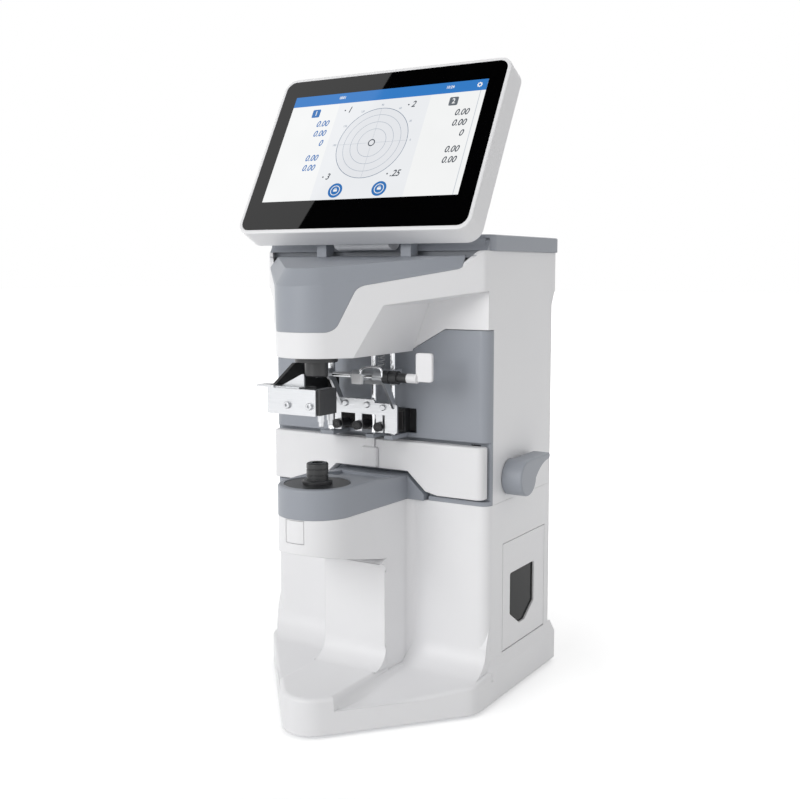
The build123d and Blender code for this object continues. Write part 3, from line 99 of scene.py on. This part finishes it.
def mouldedPlastic(name, tone, shade, rough, edge):
    # ABS moulded in a spark-eroded tool: a satin sheen, and soft edges that catch the light.
    # The real grain is about 0.2 mm; it is drawn at 0.7 mm so that it shows at all.
    finish, tree, shader, place = startFinish(name)
    grain = addNode(tree, "TexNoise", {"Scale": 1000 / 0.7, "Detail": 2.0}, {"Vector": place})
    soft = addNode(tree, "Bevel", {"Radius": edge / 1000, "samples": 6}, {})
    bump = addNode(
        tree, "Bump", {"Strength": 0.10, "Distance": 0.00005},
        {"Height": grain.outputs[0], "Normal": soft.outputs[0]},
    )
    wander(tree, shader, place, tone, shade, 60)
    unevenSheen(tree, shader, grain.outputs[0], rough - 0.05, rough + 0.05)
    tree.links.new(bump.outputs[0], shader.inputs["Normal"])
    setShader(shader, {"IOR": 1.54})
    return finish


def anodisedBlack(name):
    # Bead-blasted aluminium, anodised and dyed black: fine speckle, soft wide highlight
    finish, tree, shader, place = startFinish(name)
    blast = addNode(tree, "TexNoise", {"Scale": 1000 / 0.5, "Detail": 3.0}, {"Vector": place})
    soft = addNode(tree, "Bevel", {"Radius": 0.0003, "samples": 6}, {})
    bump = addNode(
        tree, "Bump", {"Strength": 0.15, "Distance": 0.00004},
        {"Height": blast.outputs[0], "Normal": soft.outputs[0]},
    )
    wander(tree, shader, place, "#0d0e0f", "#141517", 6)
    unevenSheen(tree, shader, blast.outputs[0], 0.32, 0.46)
    tree.links.new(bump.outputs[0], shader.inputs["Normal"])
    setShader(shader, {"Specular IOR Level": 0.3, "IOR": 1.5})
    return finish


def clearAnodised(name):
    # Turned aluminium with a clear anodised skin: pale, even, softly metallic
    finish, tree, shader, place = startFinish(name)
    skin = addNode(tree, "TexNoise", {"Scale": 1000 / 0.8, "Detail": 3.0}, {"Vector": place})
    soft = addNode(tree, "Bevel", {"Radius": 0.0003, "samples": 6}, {})
    wander(tree, shader, place, "#c3c5c8", "#b2b4b8", 5)
    unevenSheen(tree, shader, skin.outputs[0], 0.26, 0.38)
    tree.links.new(soft.outputs[0], shader.inputs["Normal"])
    setShader(shader, {"Metallic": 0.85})
    return finish


def brushedSteel(name, along, tone, shade, rough):
    # Stainless sheet brushed one way with 180 grit: long fine streaks. The real lines are under
    # 0.1 mm apart; they are drawn 0.35 mm apart so that they show.
    finish, tree, shader, place = startFinish(name)
    stretch = [1.0 if axis == along else 40.0 for axis in "xyz"]
    turned = addNode(tree, "Mapping", {"Scale": stretch}, {"Vector": place})
    streak = addNode(
        tree, "TexNoise", {"Scale": 1000 / 14, "Detail": 4.0}, {"Vector": turned.outputs[0]}
    )
    soft = addNode(tree, "Bevel", {"Radius": 0.00025, "samples": 6}, {})
    bump = addNode(
        tree, "Bump", {"Strength": 0.18, "Distance": 0.00003},
        {"Height": streak.outputs[0], "Normal": soft.outputs[0]},
    )
    lines = addNode(
        tree, "Mix", {"data_type": "RGBA", 6: linear(tone), 7: linear(shade)}, {0: streak.outputs[0]}
    )
    tree.links.new(lines.outputs[2], shader.inputs["Base Color"])
    unevenSheen(tree, shader, streak.outputs[0], rough - 0.07, rough + 0.09)
    tree.links.new(bump.outputs[0], shader.inputs["Normal"])
    setShader(shader, {"Metallic": 1.0})
    return finish


def brightChrome(name):
    # Hard chrome on ground steel: a mirror with a trace of the grinding left
    finish, tree, shader, place = startFinish(name)
    ground = addNode(tree, "TexNoise", {"Scale": 1000 / 1.5, "Detail": 2.0}, {"Vector": place})
    wander(tree, shader, place, "#dfe0e2", "#ccced1", 8)
    unevenSheen(tree, shader, ground.outputs[0], 0.06, 0.14)
    setShader(shader, {"Metallic": 1.0})
    return finish


def turnedBrass(name):
    # Free-cutting brass off the lathe: warm, with fine turning marks
    finish, tree, shader, place = startFinish(name)
    marks = addNode(
        tree, "TexWave", {"Scale": 1000 / 6, "Distortion": 0.4, "bands_direction": "Z"},
        {"Vector": place},
    )
    bump = addNode(tree, "Bump", {"Strength": 0.15, "Distance": 0.00003}, {"Height": marks.outputs[0]})
    wander(tree, shader, place, "#d8b26a", "#c39a52", 5)
    tree.links.new(bump.outputs[0], shader.inputs["Normal"])
    setShader(shader, {"Metallic": 1.0, "Roughness": 0.24})
    return finish


def nitrileRubber(name):
    # Moulded nitrile rubber: near black, dull, with a fine dusty bloom
    finish, tree, shader, place = startFinish(name)
    bloom = addNode(tree, "TexNoise", {"Scale": 1000 / 1.2, "Detail": 5.0}, {"Vector": place})
    bump = addNode(tree, "Bump", {"Strength": 0.25, "Distance": 0.00006}, {"Height": bloom.outputs[0]})
    wander(tree, shader, place, "#1c1c1d", "#29292b", 4)
    unevenSheen(tree, shader, bloom.outputs[0], 0.72, 0.9)
    tree.links.new(bump.outputs[0], shader.inputs["Normal"])
    setShader(shader, {"IOR": 1.52})
    return finish


def coverGlass(name):
    # Tempered cover glass printed black behind: deep gloss with a faint uneven film on it
    finish, tree, shader, place = startFinish(name)
    film = addNode(tree, "TexNoise", {"Scale": 1000 / 35, "Detail": 5.0}, {"Vector": place})
    wander(tree, shader, place, "#020202", "#040405", 40)
    unevenSheen(tree, shader, film.outputs[0], 0.01, 0.02)
    setShader(shader, {"IOR": 1.52})
    return finish


def litPixels(name, tone, strength):
    # Backlit liquid crystal under the glass. The real backlight drifts by a few parts in a hundred
    # over some 30 mm, which takes the flatness off the picture.
    finish, tree, shader, place = startFinish(name)
    drift = addNode(tree, "TexNoise", {"Scale": 1000 / 30, "Detail": 2.0}, {"Vector": place})
    dim = [c * 0.95 for c in linear(tone)[:3]] + [1.0]
    glow = addNode(
        tree, "Mix", {"data_type": "RGBA", 6: dim, 7: linear(tone)}, {0: drift.outputs[0]}
    )
    tree.links.new(glow.outputs[2], shader.inputs["Emission Color"])
    setShader(shader, {"Base Color": linear("#050505"), "Roughness": 0.05, "IOR": 1.35})
    setShader(shader, {"Emission Strength": strength})
    return finish


def opticalGlass(name):
    # Polished crown glass with a bluish anti-reflection coat
    finish, tree, shader, place = startFinish(name)
    wander(tree, shader, place, "#f2f8ff", "#e6f0fb", 10)
    setShader(shader, {"Transmission Weight": 1.0, "Roughness": 0.01, "IOR": 1.52})
    setShader(shader, {"Coat Weight": 0.4, "Coat Tint": linear("#b8c8ff"), "Coat Roughness": 0.02})
    return finish


def smokedWindow(name):
    # Smoked acrylic sheet: dark and smooth. Its specular level is low, so that it stays dark where it
    # would mirror the pale floor.
    finish, tree, shader, place = startFinish(name)
    wander(tree, shader, place, "#101316", "#0c0f11", 30)
    setShader(shader, {"Transmission Weight": 0.35, "Roughness": 0.03})
    setShader(shader, {"IOR": 1.49, "Specular IOR Level": 0.03})
    return finish


def zincSheet(name):
    # Cold-rolled steel, zinc plated and blue passivated: dull silver in faint cloudy patches
    finish, tree, shader, place = startFinish(name)
    cloud = addNode(tree, "TexVoronoi", {"Scale": 1000 / 9}, {"Vector": place})
    tone = addNode(
        tree, "Mix", {"data_type": "RGBA", 6: linear("#b4b8bf"), 7: linear("#c8cbd0")},
        {0: cloud.outputs[0]},
    )
    tree.links.new(tone.outputs[2], shader.inputs["Base Color"])
    unevenSheen(tree, shader, cloud.outputs[0], 0.34, 0.5)
    setShader(shader, {"Metallic": 1.0})
    return finish


def circuitBoard(name):
    # Glass-epoxy board under green solder mask: copper runs show through as lighter lines
    finish, tree, shader, place = startFinish(name)
    runs = addNode(
        tree, "TexBrick",
        {"Scale": 1000 / 6, "Mortar Size": 0.06, "Mortar": linear("#2b7d48"),
         "Color1": linear("#10502c"), "Color2": linear("#13592f")},
        {"Vector": place},
    )
    bump = addNode(tree, "Bump", {"Strength": 0.3, "Distance": 0.00004}, {"Height": runs.outputs[1]})
    tree.links.new(runs.outputs[0], shader.inputs["Base Color"])
    tree.links.new(bump.outputs[0], shader.inputs["Normal"])
    setShader(shader, {"Roughness": 0.3, "IOR": 1.55})
    return finish


def thermalPaper(name):
    # Coated thermal paper wound tight: smooth white, its edges a little fibrous
    finish, tree, shader, place = startFinish(name)
    fibre = addNode(tree, "TexNoise", {"Scale": 1000 / 0.8, "Detail": 5.0}, {"Vector": place})
    bump = addNode(tree, "Bump", {"Strength": 0.2, "Distance": 0.00005}, {"Height": fibre.outputs[0]})
    wander(tree, shader, place, "#f1f1ec", "#e6e6df", 12)
    tree.links.new(bump.outputs[0], shader.inputs["Normal"])
    setShader(shader, {"Roughness": 0.7, "Sheen Weight": 0.1})
    return finish


def inkedFelt(name):
    # Wool felt soaked with black marking ink: matt and hairy
    finish, tree, shader, place = startFinish(name)
    hair = addNode(
        tree, "TexNoise", {"Scale": 1000 / 0.9, "Detail": 8.0, "Roughness": 0.8}, {"Vector": place}
    )
    bump = addNode(tree, "Bump", {"Strength": 0.6, "Distance": 0.0002}, {"Height": hair.outputs[0]})
    wander(tree, shader, place, "#121012", "#1c181a", 3)
    tree.links.new(bump.outputs[0], shader.inputs["Normal"])
    setShader(shader, {"Roughness": 0.9, "Sheen Weight": 0.4})
    return finish


finishes = {
    "white_plastic": mouldedPlastic("whiteAbs", "#efeff0", "#ebebed", 0.42, 1.0),
    "grey_plastic": mouldedPlastic("greyAbs", "#999da5", "#959aa2", 0.45, 0.8),
    "black_plastic": mouldedPlastic("blackAbs", "#1b1c1e", "#222326", 0.40, 0.4),
    "black_anodised": anodisedBlack("blackAnodised"),
    "steel": brushedSteel("brushedStainless", "x", "#c9cacc", "#b3b5b8", 0.30),
    "chrome": brightChrome("brightChrome"),
    "brass": turnedBrass("turnedBrass"),
    "rubber": nitrileRubber("nitrileRubber"),
    "screen_glass": coverGlass("coverGlass"),
    "lcd": litPixels("liquidCrystal", "#dfe6ee", 0.6),
    "lens": opticalGlass("crownGlass"),
    "window": smokedWindow("smokedAcrylic"),
    "sheet_metal": zincSheet("zincPlatedSheet"),
    "board": circuitBoard("circuitBoard"),
    "paper": thermalPaper("thermalPaper"),
    "felt": inkedFelt("inkedFelt"),
}
special = {  # nodes whose finish differs from their slot's, as the photograph shows
    "marker_carriage": clearAnodised("clearAnodised"),
    "guide_brackets": finishes["grey_plastic"],
}
for part in frame["record"]["subparts"]:
    node = frame["nodes"][part["node"]]
    for slot in node.material_slots:
        slot.material = special.get(part["node"], finishes[part["material_slot"]])
print("finishes on:", len(finishes), "kinds")


# helpers for pieces

def deselectAll():
    if bpy.context.mode != "OBJECT":
        bpy.ops.object.mode_set(mode="OBJECT")
    bpy.ops.object.select_all(action="DESELECT")


def pick(piece):
    deselectAll()
    piece.select_set(True)
    bpy.context.view_layer.objects.active = piece


def settle(piece):
    # the piece's place goes into its mesh, and its object to the origin
    pick(piece)
    bpy.ops.object.transform_apply(location=True, rotation=True, scale=True)
    return piece


def named(name, finish):
    piece = bpy.context.active_object
    piece.name = name
    piece.data.name = name
    piece.data.materials.clear()
    piece.data.materials.append(finish)
    return piece


def joined(name, pieces):
    deselectAll()
    for piece in pieces:
        piece.select_set(True)
    bpy.context.view_layer.objects.active = pieces[0]
    bpy.ops.object.join()
    pieces[0].name = name
    pieces[0].data.name = name
    return pieces[0]


def placeFrom(start, offset):
    # place in metres, from a start point and an offset in mm
    return Vector([(a + b) / 1000 for a, b in zip(start, offset)])


def addBlock(name, finish, start, block):
    # box between two corners, its edges rounded and its front face sunk inside a rim
    low, high = placeFrom(start, block["low"]), placeFrom(start, block["high"])
    deselectAll()
    bpy.ops.mesh.primitive_cube_add(size=1, location=(low + high) / 2)
    piece = named(name, finish)
    piece.scale = high - low
    settle(piece)
    for face in piece.data.polygons:
        face.select = face.normal.y < -0.5
    bpy.ops.object.mode_set(mode="EDIT")
    bpy.ops.mesh.select_mode(type="FACE")
    bpy.ops.mesh.inset(thickness=block["rim"] / 1000)
    bpy.ops.transform.translate(value=(0, block["sink"] / 1000, 0))
    bpy.ops.mesh.select_all(action="SELECT")
    bpy.ops.mesh.bevel(offset=block["round"] / 1000, segments=3)
    bpy.ops.mesh.select_mode(type="VERT")
    bpy.ops.object.mode_set(mode="OBJECT")
    return piece


def addWire(name, finish, start, wire):
    deselectAll()
    bpy.ops.curve.primitive_nurbs_path_add()
    piece = bpy.context.active_object
    line = piece.data.splines[0]
    line.points.add(len(wire["route"]) - len(line.points))
    for point, place in zip(line.points, wire["route"]):
        point.co = (*placeFrom(start, place), 1)
    line.order_u = 3
    line.use_endpoint_u = True
    piece.data.bevel_depth = wire["radius"] / 1000
    piece.data.bevel_resolution = 4
    piece.data.use_fill_caps = True
    bpy.ops.object.convert(target="MESH")
    bpy.ops.object.shade_smooth_by_angle(angle=radians(50))
    return named(name, finish)


# small pieces of the marker, all placed from the boxes of the nodes that carry them

clamp = {  # corners in mm from the shaft's middle line at the carriage's left side
    "low": (1.2, -4.6, -6.2),
    "high": (10.0, -1.0, 1.6),
    "rim": 1.0,
    "sink": 0.5,
    "round": 0.5,
}
loop = {  # route in mm from the same point
    "route": (
        (9, 0, 1), (9.4, -4.8, 1), (10.5, -4.8, 5.5), (15.8, -4.8, 7),
        (26, -4.8, 8), (29, -4.8, 5), (28.6, -4.8, -1), (27, 0, -1),
    ),
    "radius": 1.0,
}
penRings = {  # radius and thickness of each bead, as shares of the cap's radius
    "outer": (0.8, 0.12),
    "inner": (0.45, 0.1),
}


def middleOf(node):
    # middle of a node's box, in mm
    low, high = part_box(node)
    return [500 * (a + b) for a, b in zip(low, high)]


def addMarkerPieces():
    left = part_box("marker_carriage")[0][0] * 1000
    start = (left, *middleOf("marker_shaft")[1:])
    block = addBlock("marker_clamp", finishes["white_plastic"], start, clamp)
    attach(block, "marker_slide")
    wire = addWire("marker_loop", finishes["chrome"], start, loop)
    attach(wire, "marker_slide")


def addPenRings():
    # each pen's cap ends in two raised rings
    low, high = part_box("marker_pens")
    radius = (high[2] - low[2]) / 2
    places = (low[0] + radius, (low[0] + high[0]) / 2, high[0] - radius)
    rings = []
    for x in places:
        for reach, bead in penRings.values():
            deselectAll()
            bpy.ops.mesh.primitive_torus_add(
                major_segments=40, minor_segments=10, location=(x, low[1], low[2] + radius),
                rotation=(radians(90), 0, 0), major_radius=reach * radius, minor_radius=bead * radius,
            )
            rings.append(settle(named("ring", finishes["black_plastic"])))
    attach(joined("pen_rings", rings), "marker_arm")


addMarkerPieces()
addPenRings()
print("marker's small pieces made")


# picture on the screen: each piece is made flat, in mm on the glass, then laid on it

screen = {
    "middle": (0, 74, 428.8),  # centre of the lit area, mm
    "lean": 28.5,  # degrees back from upright
    "width": 176.64,
    "height": 99.36,
    "header": 9.9,
    "column": 46.3,  # width of each white column
    "lift": 0.05,  # the lit area stands this far off the glass, mm
    "step": 0.04,  # each layer above the last
    "thick": 0.02,
    "margin": 4.2,  # of the line down the right-hand column
    "marginLine": 0.6,
    "narrow": 0.88,  # figures are this much narrower than the font's
    "bold": 60,  # their strokes grow by their size over this
}
target = {
    "outer": 31.5,
    "inner": (25.5, 19.0, 12.6),
    "bead": 2.7,
    "line": 0.45,
    "fine": 0.35,
    "figures": 34.6,  # radius that the figures round the target stand on
    "figureSize": 2.6,
    "every": 30,  # degrees from one of them to the next
    "last": 180,
}
rows = {
    "heights": (21.4, 12.2, 2.9, -10.8, -19.9),
    "texts": ("0.00", "0.00", "0", "0.00", "0.00"),
    "ends": (-47.5, 78.6),  # right ends of the two columns of figures
    "size": 7.8,
    "slant": 0.3,
}
badge = {  # square with a number, over each column of figures
    "back": 15.3,  # its middle stands this far left of the column's right end
    "height": 32.0,
    "side": 7.6,
    "corner": 1.0,
    "figure": 6.4,
}
corners = {  # dot and figures at each corner of the target
    "places": {"1": (-34.7, 32.6), "2": (24.0, 32.6), "3": (-36.0, -29.0), ".25": (22.8, -29.0)},
    "dot": 0.7,
    "gap": 2.5,  # from the dot to its figures
}
button = {  # round button with a printer's sign
    "places": (-20.4, 19.4),
    "height": -41.7,
    "radius": 6.4,
    "ring": (4.0, 0.6),  # radius and line
    "body": (3.4, 2.0, 0.4),  # width, height and corner
    "sheet": (2.2, 0.5),
    "rise": 1.9,  # of the sheet over the body
}
wheel = {
    "place": (82.0, 45.0),
    "teeth": 8,
    "tooth": (1.0, 1.0),
    "corner": 0.2,
    "reach": 1.7,
    "ring": (1.4, 0.7),
}
heading = {
    "places": {"0001": -41.0, "10:24": 57.0},
    "height": 45.2,
    "size": 3.6,
}
screenTones = {
    "paper": litPixels("litPaper", "#f1f3f6", 0.97),
    "white": litPixels("litWhite", "#fbfcfc", 0.95),
    "header": litPixels("litHeader", "#3880cc", 0.95),
    "blue": litPixels("litBlue", "#3a78bd", 0.95),
    "hollow": litPixels("litHollow", "#ebedf1", 0.96),
    "ring": litPixels("litRing", "#74859b", 0.95),
    "pale": litPixels("litPale", "#a9b3c0", 0.95),
    "edge": litPixels("litEdge", "#cdd3da", 0.95),
    "dark": litPixels("litDark", "#50565e", 0.95),
    "grey": litPixels("litGrey", "#6b7178", 0.95),
}
onScreen = {tone: [] for tone in screenTones}


def layOnScreen(piece, tone, u, v, layer):
    # u and v run right and up from the middle, and layer counts up from the paper
    lift = screen["lift"] + layer * screen["step"]
    lean = Matrix.Rotation(radians(90 - screen["lean"]), 4, "X")
    middle = Matrix.Translation([c / 1000 for c in screen["middle"]])
    piece.matrix_world = middle @ lean @ Matrix.Translation((u / 1000, v / 1000, lift / 1000))
    onScreen[tone].append(settle(piece))


def thicken():
    # the flat outline in edit mode gets the picture's thickness
    bpy.ops.mesh.select_all(action="SELECT")
    bpy.ops.mesh.extrude_region_move(TRANSFORM_OT_translate={"value": (0, 0, screen["thick"] / 1000)})
    bpy.ops.mesh.select_all(action="SELECT")
    bpy.ops.mesh.normals_make_consistent(inside=False)
    bpy.ops.object.mode_set(mode="OBJECT")


def addTile(tone, width, height, u, v, layer, corner=0):
    deselectAll()
    bpy.ops.mesh.primitive_plane_add(size=1)
    tile = named("tile", screenTones[tone])
    tile.scale = (width / 1000, height / 1000, 1)
    settle(tile)
    bpy.ops.object.mode_set(mode="EDIT")
    bpy.ops.mesh.select_all(action="SELECT")
    if corner:
        bpy.ops.mesh.bevel(offset=corner / 1000, segments=5, affect="VERTICES")
    thicken()
    layOnScreen(tile, tone, u, v, layer)


def addRing(tone, radius, line, u, v, layer):
    inner, outer = radius - line / 2, radius + line / 2
    deselectAll()
    bpy.ops.mesh.primitive_circle_add(vertices=96, radius=inner / 1000, fill_type="NOTHING")
    ring = named("ring", screenTones[tone])
    bpy.ops.object.mode_set(mode="EDIT")
    bpy.ops.mesh.select_all(action="SELECT")
    bpy.ops.mesh.extrude_region_move()
    bpy.ops.transform.resize(value=(outer / inner, outer / inner, 1))
    thicken()
    layOnScreen(ring, tone, u, v, layer)


def addDisc(tone, radius, u, v, layer):
    deselectAll()
    bpy.ops.mesh.primitive_circle_add(vertices=64, radius=radius / 1000, fill_type="NGON")
    disc = named("disc", screenTones[tone])
    bpy.ops.object.mode_set(mode="EDIT")
    bpy.ops.mesh.select_all(action="SELECT")
    bpy.ops.mesh.inset(thickness=radius / 4 / 1000)
    thicken()
    layOnScreen(disc, tone, u, v, layer)


def addFigures(tone, text, size, u, v, layer, slant=0, side="CENTER"):
    deselectAll()
    bpy.ops.object.text_add()
    figures = bpy.context.active_object
    figures.data.body = text
    figures.data.size = size / 1000
    figures.data.shear = slant
    figures.data.align_x = side
    figures.data.align_y = "CENTER"
    figures.data.extrude = screen["thick"] / 2 / 1000
    figures.data.offset = size / screen["bold"] / 1000
    figures.data.resolution_u = 3
    bpy.ops.object.convert(target="MESH")
    figures = named("figures", screenTones[tone])
    figures.scale = (screen["narrow"], 1, 1)
    settle(figures)
    layOnScreen(figures, tone, u, v, layer)


def makeBackdrop():
    width, header, column = screen["width"], screen["header"], screen["column"]
    below = screen["height"] - header
    addTile("paper", width, screen["height"], 0, 0, 0)
    addTile("header", width, header, 0, below / 2, 1)
    for side in (-1, 1):
        addTile("white", column, below, side * (width - column) / 2, -header / 2, 1)
    addTile("edge", screen["marginLine"], below, width / 2 - screen["margin"], -header / 2, 2)


def makeTarget():
    reach, fine = target["outer"], target["fine"]
    addDisc("hollow", reach, 0, 0, 1)
    addRing("ring", reach, target["line"], 0, 0, 2)
    for radius in target["inner"]:
        addRing("pale", radius, fine, 0, 0, 2)
    addTile("pale", 2 * reach, fine / 2, 0, 0, 2)
    addTile("pale", fine / 2, 2 * reach, 0, 0, 2)
    addDisc("hollow", target["bead"], 0, 0, 3)
    addRing("dark", target["bead"], 2 * target["line"], 0, 0, 4)
    for turn in range(0, target["last"] + 1, target["every"]):
        u = target["figures"] * cos(radians(turn))
        v = target["figures"] * sin(radians(turn))
        addFigures("pale", str(turn), target["figureSize"], u, v, 2)


def makeReadings():
    size, slant = rows["size"], rows["slant"]
    for end, tone, back, number in zip(rows["ends"], ("blue", "dark"), ("blue", "grey"), "12"):
        for v, text in zip(rows["heights"], rows["texts"]):
            addFigures(tone, text, size, end, v, 2, slant, "RIGHT")
        middle = end - badge["back"]
        addTile(back, badge["side"], badge["side"], middle, badge["height"], 2, badge["corner"])
        addFigures("white", number, badge["figure"], middle, badge["height"], 3)
    for text, (u, v) in corners["places"].items():
        addDisc("dark", corners["dot"], u, v, 2)
        addFigures("dark", text, size, u + corners["gap"], v, 2, slant, "LEFT")


def makeButtons():
    width, height, corner = button["body"]
    for u in button["places"]:
        v = button["height"]
        addDisc("blue", button["radius"], u, v, 2)
        addRing("white", *button["ring"], u, v, 3)
        addTile("white", width, height, u, v, 3, corner)
        addTile("white", *button["sheet"], u, v + button["rise"], 3)


def makeHeading():
    # a toothed wheel and two numbers
    right, up = wheel["place"]
    for i in range(wheel["teeth"]):
        angle = radians(360 * i / wheel["teeth"])
        u = right + wheel["reach"] * cos(angle)
        v = up + wheel["reach"] * sin(angle)
        addTile("white", *wheel["tooth"], u, v, 2, wheel["corner"])
    addRing("white", *wheel["ring"], right, up, 2)
    for text, u in heading["places"].items():
        addFigures("white", text, heading["size"], u, heading["height"], 2)


def makePicture():
    makeBackdrop()
    makeTarget()
    makeReadings()
    makeButtons()
    makeHeading()
    for tone, pieces in onScreen.items():
        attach(joined("screen_" + tone, pieces), "display")


makePicture()
print("picture on the screen made")


# studio: pale floor, white surround, three soft lamps and a dark flag; places in metres, power in watts

room = {
    "surround": 0.50,  # strength of the white surround on the object
    "floorSize": 30,  # metres
    "floorTones": ("#f4f4f4", "#f0f0f0"),
    "floorPatch": 900,  # mm over which the one drifts into the other
    "floorLift": (0.38, 1.0),  # near the object and far from it
    "floorFade": (0.25, 0.9),  # metres over which the one turns into the other
    "key": {"place": (-0.45, -1.9, 1.05), "aim": (0, 0, 0.2), "size": 1.4, "power": 20},
    "fill": {"place": (1.9, 0.2, 0.9), "aim": (0, 0.05, 0.2), "size": 1.2, "power": 1.5},
    "rim": {"place": (-0.2, 1.7, 1.6), "aim": (0, 0, 0.3), "size": 1.2, "power": 6},
}
flag = {
    "low": (-0.941, -0.559, 1.411),  # ends of the card's edge, which the glass mirrors as a slant
    "high": (-0.793, -0.368, 1.665),
    "beside": (-0.563, -0.389, 1.738),  # a place on the card's dark side
    "size": (0.9, 1.3),
}


def addLamp(name, lamp):
    light = bpy.data.lights.new(name, "AREA")
    light.shape = "DISK"
    light.size = lamp["size"]
    light.energy = lamp["power"]
    holder = bpy.data.objects.new(name, light)
    bpy.context.scene.collection.objects.link(holder)
    holder.location = lamp["place"]
    aim = Vector(lamp["aim"]) - Vector(lamp["place"])
    holder.rotation_euler = aim.to_track_quat("-Z", "Y").to_euler()


def seenDirectly(tree):
    # 1 for rays from the camera, off a mirror or through glass
    path = addNode(tree, "LightPath", {}, {})
    first = addNode(
        tree, "Math", {"operation": "MAXIMUM"},
        {0: path.outputs["Is Camera Ray"], 1: path.outputs["Is Glossy Ray"]},
    )
    return addNode(
        tree, "Math", {"operation": "MAXIMUM"},
        {0: first.outputs[0], 1: path.outputs["Is Transmission Ray"]},
    ).outputs[0]


def makeSurround():
    world = bpy.data.worlds.new("surround")
    bpy.context.scene.world = world
    world.use_nodes = True
    tree = world.node_tree
    tree.nodes.clear()
    strength = addNode(
        tree, "MapRange", {"To Min": room["surround"], "To Max": 1.0}, {"Value": seenDirectly(tree)}
    )
    light = addNode(tree, "Background", {"Color": (1, 1, 1, 1)}, {"Strength": strength.outputs[0]})
    output = tree.nodes.new("ShaderNodeOutputWorld")
    tree.links.new(light.outputs[0], output.inputs[0])


def makeFloor():
    # painted board; what the camera sees of it is lifted to white, and the shadow stays
    deselectAll()
    bpy.ops.mesh.primitive_plane_add(size=room["floorSize"])
    floor = bpy.context.active_object
    floor.name = "floor"
    finish, tree, shader, place = startFinish("paintedFloor")
    wander(tree, shader, place, *room["floorTones"], room["floorPatch"])
    setShader(shader, {"Roughness": 0.9, "Specular IOR Level": 0.1})
    away = addNode(tree, "VectorMath", {"operation": "LENGTH"}, {0: place}).outputs["Value"]
    near, far = room["floorFade"]
    low, high = room["floorLift"]
    fade = addNode(
        tree, "MapRange", {"From Min": near, "From Max": far, "To Min": low, "To Max": high},
        {"Value": away},
    )
    strength = addNode(
        tree, "Math", {"operation": "MULTIPLY"}, {0: fade.outputs[0], 1: seenDirectly(tree)}
    ).outputs[0]
    lift = addNode(tree, "Emission", {"Color": (1, 1, 1, 1)}, {"Strength": strength})
    both = addNode(tree, "AddShader", {}, {0: shader.outputs[0], 1: lift.outputs[0]})
    tree.links.new(both.outputs[0], tree.nodes["Material Output"].inputs[0])
    floor.data.materials.append(finish)


def makeFlag():
    # black card that only mirrors see, its long edge where the screen's glass mirrors it
    low, high, beside = (Vector(flag[key]) for key in ("low", "high", "beside"))
    up = (high - low).normalized()
    out = beside - high
    out = (out - up * out.dot(up)).normalized()
    deselectAll()
    bpy.ops.mesh.primitive_plane_add(size=1)
    card = bpy.context.active_object
    card.name = "flag"
    turn = Matrix((out, up, out.cross(up))).transposed().to_4x4()
    middle = (low + high) / 2 + out * (flag["size"][0] / 2)
    card.matrix_world = Matrix.Translation(middle) @ turn @ Matrix.Diagonal((*flag["size"], 1, 1))
    settle(card)
    finish, tree, shader, place = startFinish("blackVelvet")
    wander(tree, shader, place, "#010101", "#020202", 50)
    setShader(shader, {"Roughness": 1.0, "Specular IOR Level": 0.0})
    card.data.materials.append(finish)
    for kind in ("camera", "diffuse", "transmission", "shadow"):
        setattr(card, "visible_" + kind, False)


makeSurround()
makeFloor()
makeFlag()
for lampName in ("key", "fill", "rim"):
    addLamp(lampName, room[lampName])
print("room lit")


# camera at the photograph's angle

view = {
    "place": (0.46015, -0.63176, 0.33166),
    "tilt": 84.0,
    "pan": 31.13,
    "lens": 48.58,
    "sensor": 36,
    "shift": (-0.0118, -0.0204),
}
camera = bpy.data.objects.new("camera", bpy.data.cameras.new("camera"))
bpy.context.scene.collection.objects.link(camera)
camera.location = view["place"]
camera.rotation_euler = (radians(view["tilt"]), 0, radians(view["pan"]))
camera.data.lens = view["lens"]
camera.data.sensor_width = view["sensor"]
camera.data.shift_x, camera.data.shift_y = view["shift"]
bpy.context.scene.camera = camera
bpy.context.scene.view_settings.view_transform = "Standard"

print("done")
